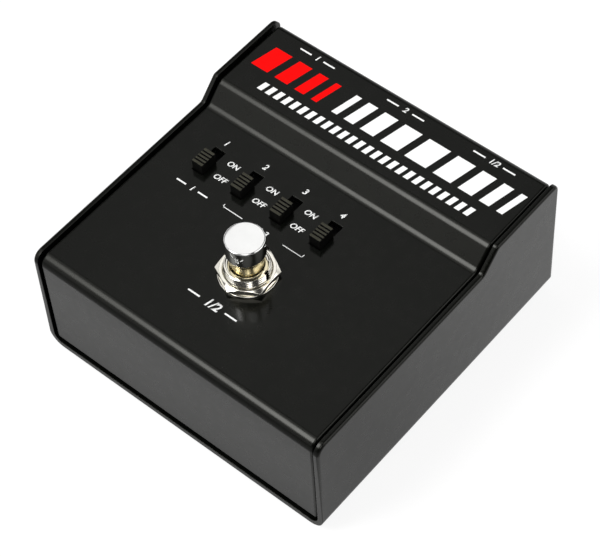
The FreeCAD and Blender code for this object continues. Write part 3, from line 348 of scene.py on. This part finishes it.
WELD_GAP = 0.001 * MM
FLAT_ANGLE = math.radians(0.6)
SOFT_ANGLE = math.radians(32)
SOFT_SEGMENTS = 2
SOFT_EDGES = (  # width in mm, then the nodes
    (0.09, "slide_knob_1", "slide_knob_2", "slide_knob_3", "slide_knob_4"),
    (0.1, "switch_frame"),
    (0.12, "combo_insert_a", "combo_insert_b", "combo_latch_a", "combo_latch_b"),
    (0.15, "bracket_front", "bracket_rear", "output_insert"),
    (0.2, "combo_shell_a", "combo_shell_b", "output_shell", "output_pins"),
    (0.25, "switch_body"),
    (0.3, "bottom_pad"),
)


def soften(piece, width):
    """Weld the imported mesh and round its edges, all by modifiers."""
    weld = piece.modifiers.new("weld", "WELD")
    weld.merge_threshold = WELD_GAP
    flat = piece.modifiers.new("flat", "DECIMATE")
    flat.decimate_type = "DISSOLVE"
    flat.angle_limit = FLAT_ANGLE
    round_off = piece.modifiers.new("round", "BEVEL")
    round_off.width = width
    round_off.segments = SOFT_SEGMENTS
    round_off.limit_method = "ANGLE"
    round_off.angle_limit = SOFT_ANGLE
    piece.modifiers.new("shade", "WEIGHTED_NORMAL").keep_sharp = False


for node_name, packed in frame["nodes"].items():
    packed.data.materials.clear()
    packed.data.materials.append(FINISHES[SLOTS[node_name]])
for width, *node_names in SOFT_EDGES:
    for node_name in node_names:
        soften(frame["nodes"][node_name], width * MM)


# Mesh helpers

LATHE_STEPS = 96


def piece_from(name, work, materials, body="case"):
    """A named piece in the row frame that rides on a body, made from a bmesh."""
    bmesh.ops.recalc_face_normals(work, faces=work.faces)
    mesh = bpy.data.meshes.new(name)
    work.to_mesh(mesh)
    work.free()
    piece = bpy.data.objects.new(name, mesh)
    bpy.context.scene.collection.objects.link(piece)
    for material in materials:
        mesh.materials.append(material)
    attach(piece, body)
    return piece


def stand_in(name, work, node_name, smooth, body="case", extra=()):
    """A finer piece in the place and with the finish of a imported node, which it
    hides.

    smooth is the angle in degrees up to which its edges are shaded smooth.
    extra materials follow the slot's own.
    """
    slot = SLOTS[node_name]
    piece = piece_from(name, work, [FINISHES[slot], *extra], body)
    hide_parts(node_name)
    limit = math.radians(smooth)
    shaded = bmesh.new()
    shaded.from_mesh(piece.data)
    for face in shaded.faces:
        face.smooth = True
    for edge in shaded.edges:
        edge.smooth = len(edge.link_faces) == 2 and edge.calc_face_angle() < limit
    shaded.to_mesh(piece.data)
    shaded.free()
    return piece


def packed_mesh(node_name):
    """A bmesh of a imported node, in place and with its split corners welded."""
    packed = frame["nodes"][node_name]
    work = bmesh.new()
    work.from_mesh(packed.data)
    work.transform(packed.matrix_world)
    bmesh.ops.remove_doubles(work, verts=work.verts[:], dist=WELD_GAP)
    return work


def full_turn(steps):
    """Evenly spaced angles of one turn."""
    return [2 * math.pi * step / steps for step in range(steps)]


def polar(radius, angle, height, centre=(SWITCH_X, SWITCH_Y)):
    """A point at a radius and an angle about an upright line, the switch's own."""
    return Vector((centre[0] + radius * math.cos(angle),
                   centre[1] + radius * math.sin(angle), height))


def skin(work, rings, closed=False):
    """Bands of faces from each ring of vertices to the next; one vertex is a tip."""
    bands = []
    following = rings[1:] + rings[:1] if closed else rings[1:]
    for first, second in zip(rings, following):
        band = []
        for step in range(max(len(first), len(second))):
            corners = (first[step % len(first)], first[(step + 1) % len(first)],
                       second[(step + 1) % len(second)], second[step % len(second)])
            corners = list(dict.fromkeys(corners))
            band.append(work.faces.new(corners))
        bands.append(band)
    return bands


def lathe(profile, closed=False):
    """Turn (radius, height) points about the middle of the stomp switch."""
    work = bmesh.new()
    rings = []
    for radius, height in profile:
        angles = full_turn(LATHE_STEPS) if radius > 0 else [0.0]
        rings.append([work.verts.new(polar(radius, angle, height)) for angle in angles])
    skin(work, rings, closed)
    return work


def arc(centre_radius, centre_height, radius, start, end, steps):
    """Points of a rounded edge in a lathe profile, by angles in degrees."""
    points = []
    for step in range(steps + 1):
        angle = math.radians(start + (end - start) * step / steps)
        points.append((centre_radius + radius * math.cos(angle),
                       centre_height + radius * math.sin(angle)))
    return points


# The folded case

SHEET_ROUNDING, ROUNDING_SEGMENTS = 0.75 * MM, 5
# Share of X in the normals of a sheet's outermost faces, and of the rims round them
SIDE_SHARE, RIM_SHARE = 0.99, 0.05
# The outer rims of both sheets face away from this point, the inner ones towards it.
INSIDE = Vector((0, 30 * MM, -20 * MM))
NEAR = 0.01 * MM


def coated_sheet(name, node_name):
    """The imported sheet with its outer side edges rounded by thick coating."""
    side_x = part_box(node_name)[1].x
    work = packed_mesh(node_name)
    bmesh.ops.dissolve_limit(work, angle_limit=FLAT_ANGLE, verts=work.verts[:],
                             edges=work.edges[:])
    work.normal_update()
    chosen = []
    for edge in work.edges:
        first, second = (vertex.co for vertex in edge.verts)
        if min(abs(first.x), abs(second.x)) < side_x - NEAR:
            continue
        if len(edge.link_faces) != 2:
            continue
        rim, side = sorted(edge.link_faces, key=lambda face: abs(face.normal.x))
        outwards = (first + second) / 2 - INSIDE
        outwards.x = 0
        square = abs(side.normal.x) > SIDE_SHARE and abs(rim.normal.x) < RIM_SHARE
        if square and rim.normal.dot(outwards) > 0:
            chosen.append(edge)
    bmesh.ops.bevel(work, geom=chosen, offset=SHEET_ROUNDING, profile=0.5,
                    segments=ROUNDING_SEGMENTS, affect="EDGES", clamp_overlap=False)
    made = stand_in(name, work, node_name, smooth=25)
    made.modifiers.new("shade", "WEIGHTED_NORMAL").keep_sharp = True


coated_sheet("cover_sheet", "top_cover")
coated_sheet("base_sheet", "chassis_base")


# Screws with a cross recess and a thread

SCREW_STEPS = 24
SHANK = 1.45 * MM
THREAD_START, THREAD_PITCH, THREAD_DEPTH = 0.1 * MM, 0.5 * MM, 0.22 * MM
TIP = 0.15 * MM
CROSS_REACH, CROSS_HALF = 1.35 * MM, 0.3 * MM
CROSS_DEPTH, CROSS_TAPER = 0.9 * MM, 0.82
# How far the first recess is turned, and each further one, in degrees
FIRST_SLANT, NEXT_SLANT = 23, 41


def solid_boxes(node_name):
    """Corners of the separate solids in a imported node."""
    work = packed_mesh(node_name)
    unseen = set(work.verts)
    boxes = []
    for start in work.verts:
        if start not in unseen:
            continue
        unseen.discard(start)
        waiting, points = [start], []
        while waiting:
            vertex = waiting.pop()
            points.append(vertex.co.copy())
            for edge in vertex.link_edges:
                other = edge.other_vert(vertex)
                if other in unseen:
                    unseen.discard(other)
                    waiting.append(other)
        boxes.append((Vector([min(axis) for axis in zip(*points)]),
                      Vector([max(axis) for axis in zip(*points)])))
    work.free()
    return boxes


def cross_outline(reach, half):
    """The twelve corners of a cross."""
    points = []
    for turn in range(4):
        for x, y in ((reach, -half), (reach, half), (half, half)):
            for _ in range(turn):
                x, y = -y, x
            points.append((x, y))
    return points


def countersunk_head(head):
    """Profile of a flat head of a radius, from its face down to the shank."""
    return [(head - 0.22 * MM, 0), (head - 0.06 * MM, -0.05 * MM),
            (head, -0.15 * MM), (head, -0.25 * MM),
            (SHANK, -0.25 * MM - (head - SHANK))]


def pan_head(head):
    """The same for a raised head with rounded edges."""
    return [(head - 0.7 * MM, 0), (head - 0.25 * MM, -0.25 * MM),
            (head, -0.8 * MM), (head, -1.98 * MM), (SHANK, -2 * MM)]


def screw(work, to_place, head_profile, length):
    """One screw: its head face is at height 0 and its point at minus the length."""
    core = SHANK - THREAD_DEPTH
    profile = list(head_profile)
    top = profile[0][1]
    height = profile[-1][1] - THREAD_START
    while height - THREAD_PITCH > -length:
        profile += [(SHANK, height), (core, height - THREAD_PITCH / 2)]
        height -= THREAD_PITCH
    profile += [(core, TIP - length), (core - TIP, -length)]
    rings = [[work.verts.new(to_place @ polar(radius, angle, height, (0, 0)))
              for angle in full_turn(SCREW_STEPS)] for radius, height in profile]
    skin(work, rings)
    work.faces.new(rings[-1])
    recess = [[work.verts.new(to_place @ Vector((x * taper, y * taper, top - depth)))
               for x, y in cross_outline(CROSS_REACH, CROSS_HALF)]
              for taper, depth in ((1.0, 0.0), (CROSS_TAPER, CROSS_DEPTH))]
    rim = []
    for loop in (rings[0], recess[0]):
        for pair in zip(loop, loop[1:] + loop[:1]):
            rim.append(work.edges.get(pair) or work.edges.new(pair))
    bmesh.ops.triangle_fill(work, use_beauty=True, edges=rim)
    skin(work, recess)
    work.faces.new(recess[1])


def screw_set(name, node_name, point_to, head_shape):
    """The screws of a node, with their points towards a direction."""
    work = bmesh.new()
    aim = Vector(point_to)
    turn = (-aim).to_track_quat("Z", "X").to_matrix().to_4x4()
    along = max(range(3), key=lambda axis: abs(aim[axis]))
    across = (along + 1) % 3
    for number, (low, high) in enumerate(solid_boxes(node_name)):
        face = (low + high) / 2
        face[along] = low[along] if aim[along] > 0 else high[along]
        head = (high[across] - low[across]) / 2
        length = high[along] - low[along]
        slant = Matrix.Rotation(math.radians(FIRST_SLANT + NEXT_SLANT * number), 4, "Z")
        screw(work, Matrix.Translation(face) @ turn @ slant, head_shape(head), length)
    stand_in(name, work, node_name, smooth=30)


screw_set("floor_screws", "cover_screws", (0, 0, 1), countersunk_head)
screw_set("flange_screws", "connector_screws", (0, -1, 0), countersunk_head)
screw_set("board_fixings", "control_screws", (0, 0, 1), pan_head)


# The stomp switch

NUT_FLATS = 14 * MM
NUT_TURN = 33  # degrees from +X to a corner
HOLE = 5.95 * MM  # radius of the holes in the nuts and the washer


def plunger():
    """Chrome cap with a rounded rim over a golden neck, stem and rod."""
    low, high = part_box("footswitch_plunger")
    cap, neck, rod = 5 * MM, 4.25 * MM, 1.6 * MM  # radii
    cap_foot, neck_foot = high.z - 5 * MM, high.z - 6.8 * MM
    stem_foot = DECK - 2 * MM
    crown, rim, lip = 0.004 * MM, 0.35 * MM, 0.15 * MM
    flare, flare_height = 0.12 * MM, 0.2 * MM
    stem_edge, rod_edge = 0.1 * MM, 0.3 * MM
    profile = [(0, high.z), (cap / 2, high.z - crown)]
    profile += arc(cap - rim, high.z - rim, rim, 90, 0, 8)
    profile += arc(cap - lip, cap_foot + lip, lip, 0, -60, 3)
    profile += [(neck + flare, neck_foot + flare_height), (neck, neck_foot),
                (neck, stem_foot + stem_edge), (neck - stem_edge, stem_foot),
                (rod, stem_foot), (rod, low.z + rod_edge), (rod - rod_edge, low.z),
                (0, low.z)]
    work = lathe(profile)
    for face in work.faces:
        golden = stem_foot < face.calc_center_median().z < cap_foot
        face.material_index = int(golden)
    stand_in("footswitch_cap", work, "footswitch_plunger", smooth=40, body="plunger",
             extra=[GOLD])


def coil_spring():
    """Round wire with closed end turns."""
    low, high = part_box("plunger_spring")
    wire = 0.33 * MM
    radius = (high.x - low.x) / 2 - wire
    turns, closed, steps, sides = 5.0, 0.8, 28, 10
    closed_pitch = 2.1 * wire
    foot, head = low.z + wire, high.z - wire

    def rise(turn):
        """Height after so many turns, nearly flat over the closed ones."""
        share = min(max((turn - closed) / (turns - 2 * closed), 0.0), 1.0)
        ends = min(turn, closed) + max(turn - turns + closed, 0.0)
        open_height = head - foot - 2 * closed * closed_pitch
        return foot + ends * closed_pitch + open_height * share

    work = bmesh.new()
    rings = []
    for step in range(round(turns * steps) + 1):
        turn = step / steps
        angle = 2 * math.pi * turn
        out = Vector((math.cos(angle), math.sin(angle), 0))
        centre = Vector((SWITCH_X, SWITCH_Y, rise(turn))) + out * radius
        rings.append([work.verts.new(centre + out * (wire * math.cos(side))
                                     + Vector((0, 0, wire * math.sin(side))))
                      for side in full_turn(sides)])
    skin(work, rings)
    work.faces.new(rings[0])
    work.faces.new(rings[-1])
    made = stand_in("return_spring", work, "plunger_spring", smooth=50)
    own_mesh(made)


def threaded_bushing():
    """A thread with a keyway cut along it, round a plain golden bore."""
    low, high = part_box("switch_bushing")
    major = (high.x - low.x) / 2
    bore, bore_edge = 4.35 * MM, 0.1 * MM
    pitch, depth, chamfer = 0.7 * MM, 0.38 * MM, 0.3 * MM
    key_angle, key_width, key_depth = 8.0, 1.4 * MM, 0.9 * MM
    key_foot = low.z + 1 * MM
    half_key = math.degrees(math.asin(key_width / 2 / major))
    # In degrees: the spacing of the columns of vertices, the gap that they leave at
    # the sides of the keyway, and the turn over which those sides drop
    column_step, key_gap, key_wall = 4.0, 1.0, 0.4
    rows_per_turn = 8

    def off_key(angle):
        return abs((angle - key_angle + 180) % 360 - 180)

    columns = [column_step * step for step in range(round(360 / column_step))]
    columns = [angle for angle in columns if abs(off_key(angle) - half_key) > key_gap]
    for side in (-1, 1):
        columns.append(key_angle + side * half_key)
        columns.append(key_angle + side * (half_key - key_wall))
    columns = sorted(angle % 360 for angle in columns)

    work = bmesh.new()
    rows = round((high.z - low.z) / pitch * rows_per_turn)
    rings = []
    for row in range(rows + 1):
        height = low.z + (high.z - low.z) * row / rows
        ring = []
        for angle in columns:
            phase = ((height - low.z) / pitch - angle / 360) % 1.0
            cut = depth * abs(2 * phase - 1)
            radius = min(major - cut, major - chamfer + (high.z - height),
                         major - chamfer + (height - low.z))
            if off_key(angle) < half_key - key_wall / 2 and height > key_foot:
                radius = min(radius, major - key_depth)
            ring.append(work.verts.new(polar(radius, math.radians(angle), height)))
        rings.append(ring)
    thread_rings = len(rings)
    for radius, height in ((bore + bore_edge, high.z), (bore, high.z - bore_edge),
                           (bore, low.z)):
        rings.append([work.verts.new(polar(radius, math.radians(angle), height))
                      for angle in columns])
    for band in skin(work, rings, closed=True)[thread_rings:]:
        for face in band:
            face.material_index = 1
    stand_in("bushing_thread", work, "switch_bushing", smooth=50, extra=[GOLD])


def hexagon_nut(name, node_name):
    """A nut whose corners are turned down to a cone on both faces."""
    low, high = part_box(node_name)
    flat = NUT_FLATS / 2
    crown = flat * 0.985  # the faces are level up to this radius
    slope = math.tan(math.radians(30))
    bevel = 0.25 * MM
    columns = []
    for step in range(LATHE_STEPS):
        angle = 360 * step / LATHE_STEPS + NUT_TURN
        off_corner = abs((angle - NUT_TURN + 30) % 60 - 30)
        reach = flat / math.cos(math.radians(30 - off_corner))
        drop = max(0.0, reach - crown) * slope
        profile = ((HOLE, low.z + bevel), (HOLE + bevel, low.z), (crown, low.z),
                   (reach, low.z + drop), (reach, high.z - drop), (crown, high.z),
                   (HOLE + bevel, high.z), (HOLE, high.z - bevel))
        columns.append([polar(radius, math.radians(angle), height)
                        for radius, height in profile])
    work = bmesh.new()
    rings = [[work.verts.new(point) for point in ring] for ring in zip(*columns)]
    skin(work, rings, closed=True)
    stand_in(name, work, node_name, smooth=20)


def flat_washer():
    low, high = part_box("switch_washer")
    outer, edge = (high.x - low.x) / 2, 0.15 * MM
    profile = arc(outer - edge, low.z + edge, edge, -90, 0, 3)
    profile += arc(outer - edge, high.z - edge, edge, 0, 90, 3)
    profile += arc(HOLE + edge, high.z - edge, edge, 90, 180, 3)
    profile += arc(HOLE + edge, low.z + edge, edge, 180, 270, 3)
    work = lathe(profile, closed=True)
    stand_in("flat_washer", work, "switch_washer", smooth=40)


plunger()
coil_spring()
threaded_bushing()
hexagon_nut("hex_nut", "switch_nut")
hexagon_nut("hex_nut_below", "switch_lower_nut")
flat_washer()


# Print on the two decks, in mm

INK_RISE = 0.02 * MM
SLANT = 0.22
BOLDER = 0.025  # how far the strokes of the letters are swelled
# Text, height of its capitals, and middle
LOWER_WORDS = (
    ("1", 2.0, -30.6, 9.5), ("2", 2.0, -17.9, 9.7), ("3", 2.0, -5.1, 9.8),
    ("4", 2.0, 6.8, 9.7), ("ON", 1.8, -24.6, 5.1), ("OFF", 1.8, -24.5, 0.0),
    ("ON", 1.8, -11.9, 5.0), ("OFF", 1.8, -12.0, 0.1), ("ON", 1.8, 0.3, 5.2),
    ("OFF", 1.8, 0.3, -0.1), ("1", 1.9, -28.0, -6.5), ("2-3", 1.9, -5.4, -6.3),
    ("1/2", 2.8, -0.7, -30.0),
)
UPPER_WORDS = (
    ("1", 1.9, -27.5, 41.9), ("2", 1.9, 0.9, 42.0), ("1/2", 1.9, 28.4, 42.0),
)
# Corners of the bracket lines that join the marks of switches 2 and 3
BRACKET_LINES = (
    ((-18.2, -5.4), (-18.1, -6.1), (-12.0, -6.1)),
    ((1.1, -6.1), (7.0, -6.1), (7.1, -5.3)),
)
# Dashes on both sides of a label: its middle, and how far off they start and end
LOWER_DASHES = ((-28.0, -6.5, 2.2, 4.8), (-0.7, -30.0, 4.2, 7.4))
UPPER_DASHES = ((-27.5, 41.9, 2.2, 5.4), (0.9, 42.0, 2.4, 5.6), (28.4, 42.0, 2.9, 6.1))
LINE_WIDTH, DASH_WIDTH = 0.22, 0.45
# Slanted bars in the title's place: front and rear y, first left x, the widths of
# the bars in turn, and the gap between them
RED_BARS = (30.4, 38.4, -40.0, (5.4, 4.2, 3.0, 1.8), 2.4)
WHITE_BARS = (30.4, 38.4, -13.6, (1.8, 3.0, 4.2, 5.4, 6.6, 5.4, 4.2, 3.0, 1.8), 2.2)
DASH_ROW = (24.9, 27.7, -33.4, (1.5,) * 26, 1.1)


def ink_patch(work, outline, deck):
    """Flat ink on a deck, with an outline in mm."""
    foot, head = ([work.verts.new((x * MM, y * MM, height)) for x, y in outline]
                  for height in (deck, deck + INK_RISE))
    work.faces.new(foot[::-1])
    work.faces.new(head)
    skin(work, [foot, head])


def bars(name, rows, material):
    """Rows of bars on the upper deck that lean as slanted words do."""
    work = bmesh.new()
    for front, rear, left, widths, gap in rows:
        lean = SLANT * (rear - front)
        for width in widths:
            right = left + width
            ink_patch(work, ((left, front), (right, front), (right + lean, rear),
                             (left + lean, rear)), UPPER_DECK)
            left = right + gap
    piece_from(name, work, [material])


def line_run(work, points, deck, width):
    """Straight strokes of a width along points, all in mm."""
    for start, end in zip(points, points[1:]):
        along = (Vector(end) - Vector(start)).normalized() * (width / 2)
        aside = Vector((-along.y, along.x))
        first, last = Vector(start) - along, Vector(end) + along
        corners = (first - aside, last - aside, last + aside, first + aside)
        ink_patch(work, corners, deck)


def text_mesh(text):
    curve = bpy.data.curves.new("word", "FONT")
    curve.body = text
    curve.align_x = "CENTER"
    curve.align_y = "CENTER"
    curve.shear = SLANT
    curve.offset = BOLDER
    curve.resolution_u = 5
    holder = bpy.data.objects.new("word", curve)
    flat = bpy.data.meshes.new_from_object(holder)
    bpy.data.objects.remove(holder)
    return flat


def words(name, entries, deck, dashes, runs=()):
    """White words on a deck, with dashes beside them and thin lines."""
    cap_height = max(vertex.co.y for vertex in text_mesh("1").vertices) * 2
    work = bmesh.new()
    for text, height, x, y in entries:
        flat = text_mesh(text)
        scale = height * MM / cap_height
        place = Matrix.Translation((x * MM, y * MM, deck)) @ Matrix.Scale(scale, 4)
        flat.transform(place)
        letters = bmesh.new()
        letters.from_mesh(flat)
        grown = bmesh.ops.extrude_face_region(letters, geom=letters.faces[:])
        lifted = [part for part in grown["geom"]
                  if isinstance(part, bmesh.types.BMVert)]
        bmesh.ops.translate(letters, verts=lifted, vec=(0, 0, INK_RISE))
        letters.to_mesh(flat)
        letters.free()
        work.from_mesh(flat)
        bpy.data.meshes.remove(flat)
    for x, y, near, far in dashes:
        for side in (-1, 1):
            ends = ((x + side * near, y), (x + side * far, y))
            line_run(work, ends, deck, DASH_WIDTH)
    for points in runs:
        line_run(work, points, deck, LINE_WIDTH)
    piece_from(name, work, [INK_WHITE])


words("marks_lower_deck", LOWER_WORDS, DECK, LOWER_DASHES, BRACKET_LINES)
words("marks_upper_deck", UPPER_WORDS, UPPER_DECK, UPPER_DASHES)
bars("stripes_red", [RED_BARS], INK_RED)
bars("stripes_white", [WHITE_BARS, DASH_ROW], INK_WHITE)


# Camera, floor and light

# Where the photo was taken from, fitted to the edges of the case
CAMERA_PLACE = (0.21208, -0.22495, 0.44093)
CAMERA_RIGHT = Vector((0.76681, 0.64040, -0.04341))
CAMERA_UP = Vector((-0.49922, 0.63754, 0.58679))
CAMERA_BACK = Vector((0.40345, -0.42829, 0.80858))
LENS, SENSOR = 125.5, 36.0
# Soft panels of the room: direction, half angles in degrees across the world's X
# and the other way, width of the soft edge in degrees, and strength
PANELS = (
    ((-0.335, -0.470, 0.815), 8, 16, 14, 16.0),
    ((-0.400, -0.010, 0.917), 26, 12, 6, 1.3),
    ((-0.403, 0.428, 0.809), 7, 7, 2, 1.27),
    ((-0.62, -0.70, 0.36), 20, 20, 8, 1.0),
    ((0.66, 0.40, 0.63), 22, 22, 8, 2.2),
    ((0.10, 0.94, 0.32), 32, 14, 12, 1.2),
    ((-0.93, 0.20, 0.30), 14, 24, 12, 1.0),
    ((0.40, -0.43, 0.81), 14, 14, 8, 3.2),
)
ROOM = 0.04
FLOOR_HALF = 3.0
# The floor is pale to the light that falls on the part. Where it is seen, it glows,
# and takes only a faint shadow.
PAPER, SHADED = 0.8, 0.20
GLOW = 0.85
# Glow of the floor as mirrored in the part, by Y in mm. It fades before the object.
MIRRORED_GLOW = ((-64.2, 0.22), (-61.8, 0.82), (-48, 0.54), (-15, 0.54), (45, 0.80))


def surroundings():
    """A dim room with soft panels, seen as plain white by the camera."""
    tree = Tree("studio", "worlds")
    tree.nodes.clear()
    towards = tree.add("TexCoord").outputs["Generated"]

    def within(axis, half, edge):
        """1 between the two half angles about the plane across the axis, else 0."""
        made = tree.add("MapRange", interpolation_type="SMOOTHSTEP")
        off = tree.maths("ABSOLUTE", tree.dot(towards, axis))
        tree.feed(off, made.inputs["Value"])
        made.inputs["From Min"].default_value = math.sin(math.radians(half + edge / 2))
        made.inputs["From Max"].default_value = math.sin(math.radians(half - edge / 2))
        return made.outputs[0]

    total = ROOM
    for direction, across, other, edge, strength in PANELS:
        centre = Vector(direction).normalized()
        first = (Vector((1, 0, 0)) - centre * centre.x).normalized()
        second = centre.cross(first)
        shape = tree.maths("MULTIPLY", within(first, across, edge),
                           within(second, other, edge))
        ahead = tree.maths("GREATER_THAN", tree.dot(towards, centre), 0.0)
        shape = tree.maths("MULTIPLY", shape, ahead)
        total = tree.maths("ADD", tree.maths("MULTIPLY", shape, strength), total)
    room = tree.add("Background")
    tree.feed(total, room.inputs["Strength"])
    white = tree.add("Background")
    white.inputs["Color"].default_value = grey(1.0)
    choose = tree.add("MixShader")
    tree.feed(tree.add("LightPath").outputs["Is Camera Ray"], choose.inputs[0])
    tree.feed(room.outputs[0], choose.inputs[1])
    tree.feed(white.outputs[0], choose.inputs[2])
    tree.feed(choose.outputs[0], tree.add("OutputWorld").inputs[0])
    return tree.owner


def floor_paper():
    """Pale paper that lights the part, and glows where it is seen or mirrored."""
    tree = Tree("floor_paper")
    tree.nodes.remove(tree.shader)
    paper = tree.add("BsdfDiffuse")
    paper.inputs["Color"].default_value = grey(PAPER)
    shaded = tree.add("BsdfDiffuse")
    shaded.inputs["Color"].default_value = grey(SHADED)
    glow = tree.add("Emission")
    seen = tree.add("AddShader")
    tree.feed(shaded.outputs[0], seen.inputs[0])
    tree.feed(glow.outputs[0], seen.inputs[1])
    path = tree.add("LightPath")
    mirrored = tree.maths("MAXIMUM", path.outputs["Is Glossy Ray"],
                          path.outputs["Is Transmission Ray"])
    direct = tree.maths("MAXIMUM", path.outputs["Is Camera Ray"], mirrored)
    place = tree.add("SeparateXYZ")
    tree.feed(tree.add("TexCoord").outputs["Object"], place.inputs[0])
    front, rear = MIRRORED_GLOW[0][0], MIRRORED_GLOW[-1][0]
    pool = tree.add("ValToRGB")
    depth = tree.spread(place.outputs["Y"], 0.0, 1.0, start=front * MM, end=rear * MM)
    tree.feed(depth, pool.inputs["Fac"])
    stops = pool.color_ramp.elements
    for y, _ in MIRRORED_GLOW[1:-1]:
        stops.new((y - front) / (rear - front))
    for stop, (_, strength) in zip(stops, MIRRORED_GLOW):
        stop.color = grey(strength)
    strength = tree.blend(mirrored, GLOW, pool.outputs["Color"])
    tree.feed(strength, glow.inputs["Strength"])
    either = tree.add("MixShader")
    tree.feed(direct, either.inputs[0])
    tree.feed(paper.outputs[0], either.inputs[1])
    tree.feed(seen.outputs[0], either.inputs[2])
    tree.feed(either.outputs[0], tree.nodes["Material Output"].inputs["Surface"])
    return tree.owner


def studio():
    """The photo's viewpoint over a pale floor, in soft white light."""
    scene = bpy.context.scene
    camera = bpy.data.objects.new("camera", bpy.data.cameras.new("camera"))
    scene.collection.objects.link(camera)
    turn = Matrix((CAMERA_RIGHT, CAMERA_UP, CAMERA_BACK)).transposed()
    camera.matrix_world = Matrix.Translation(CAMERA_PLACE) @ turn.to_4x4()
    camera.data.sensor_width = SENSOR
    camera.data.lens = LENS
    camera.data.clip_start = 0.01
    camera.data.clip_end = 20.0
    scene.camera = camera

    mesh = bpy.data.meshes.new("floor")
    corners = [(x * FLOOR_HALF, y * FLOOR_HALF, 0)
               for x, y in ((-1, -1), (1, -1), (1, 1), (-1, 1))]
    mesh.from_pydata(corners, [], [(0, 1, 2, 3)])
    mesh.materials.append(floor_paper())
    floor = bpy.data.objects.new("floor", mesh)
    scene.collection.objects.link(floor)

    scene.world = surroundings()
    scene.view_settings.view_transform = "Standard"


studio()
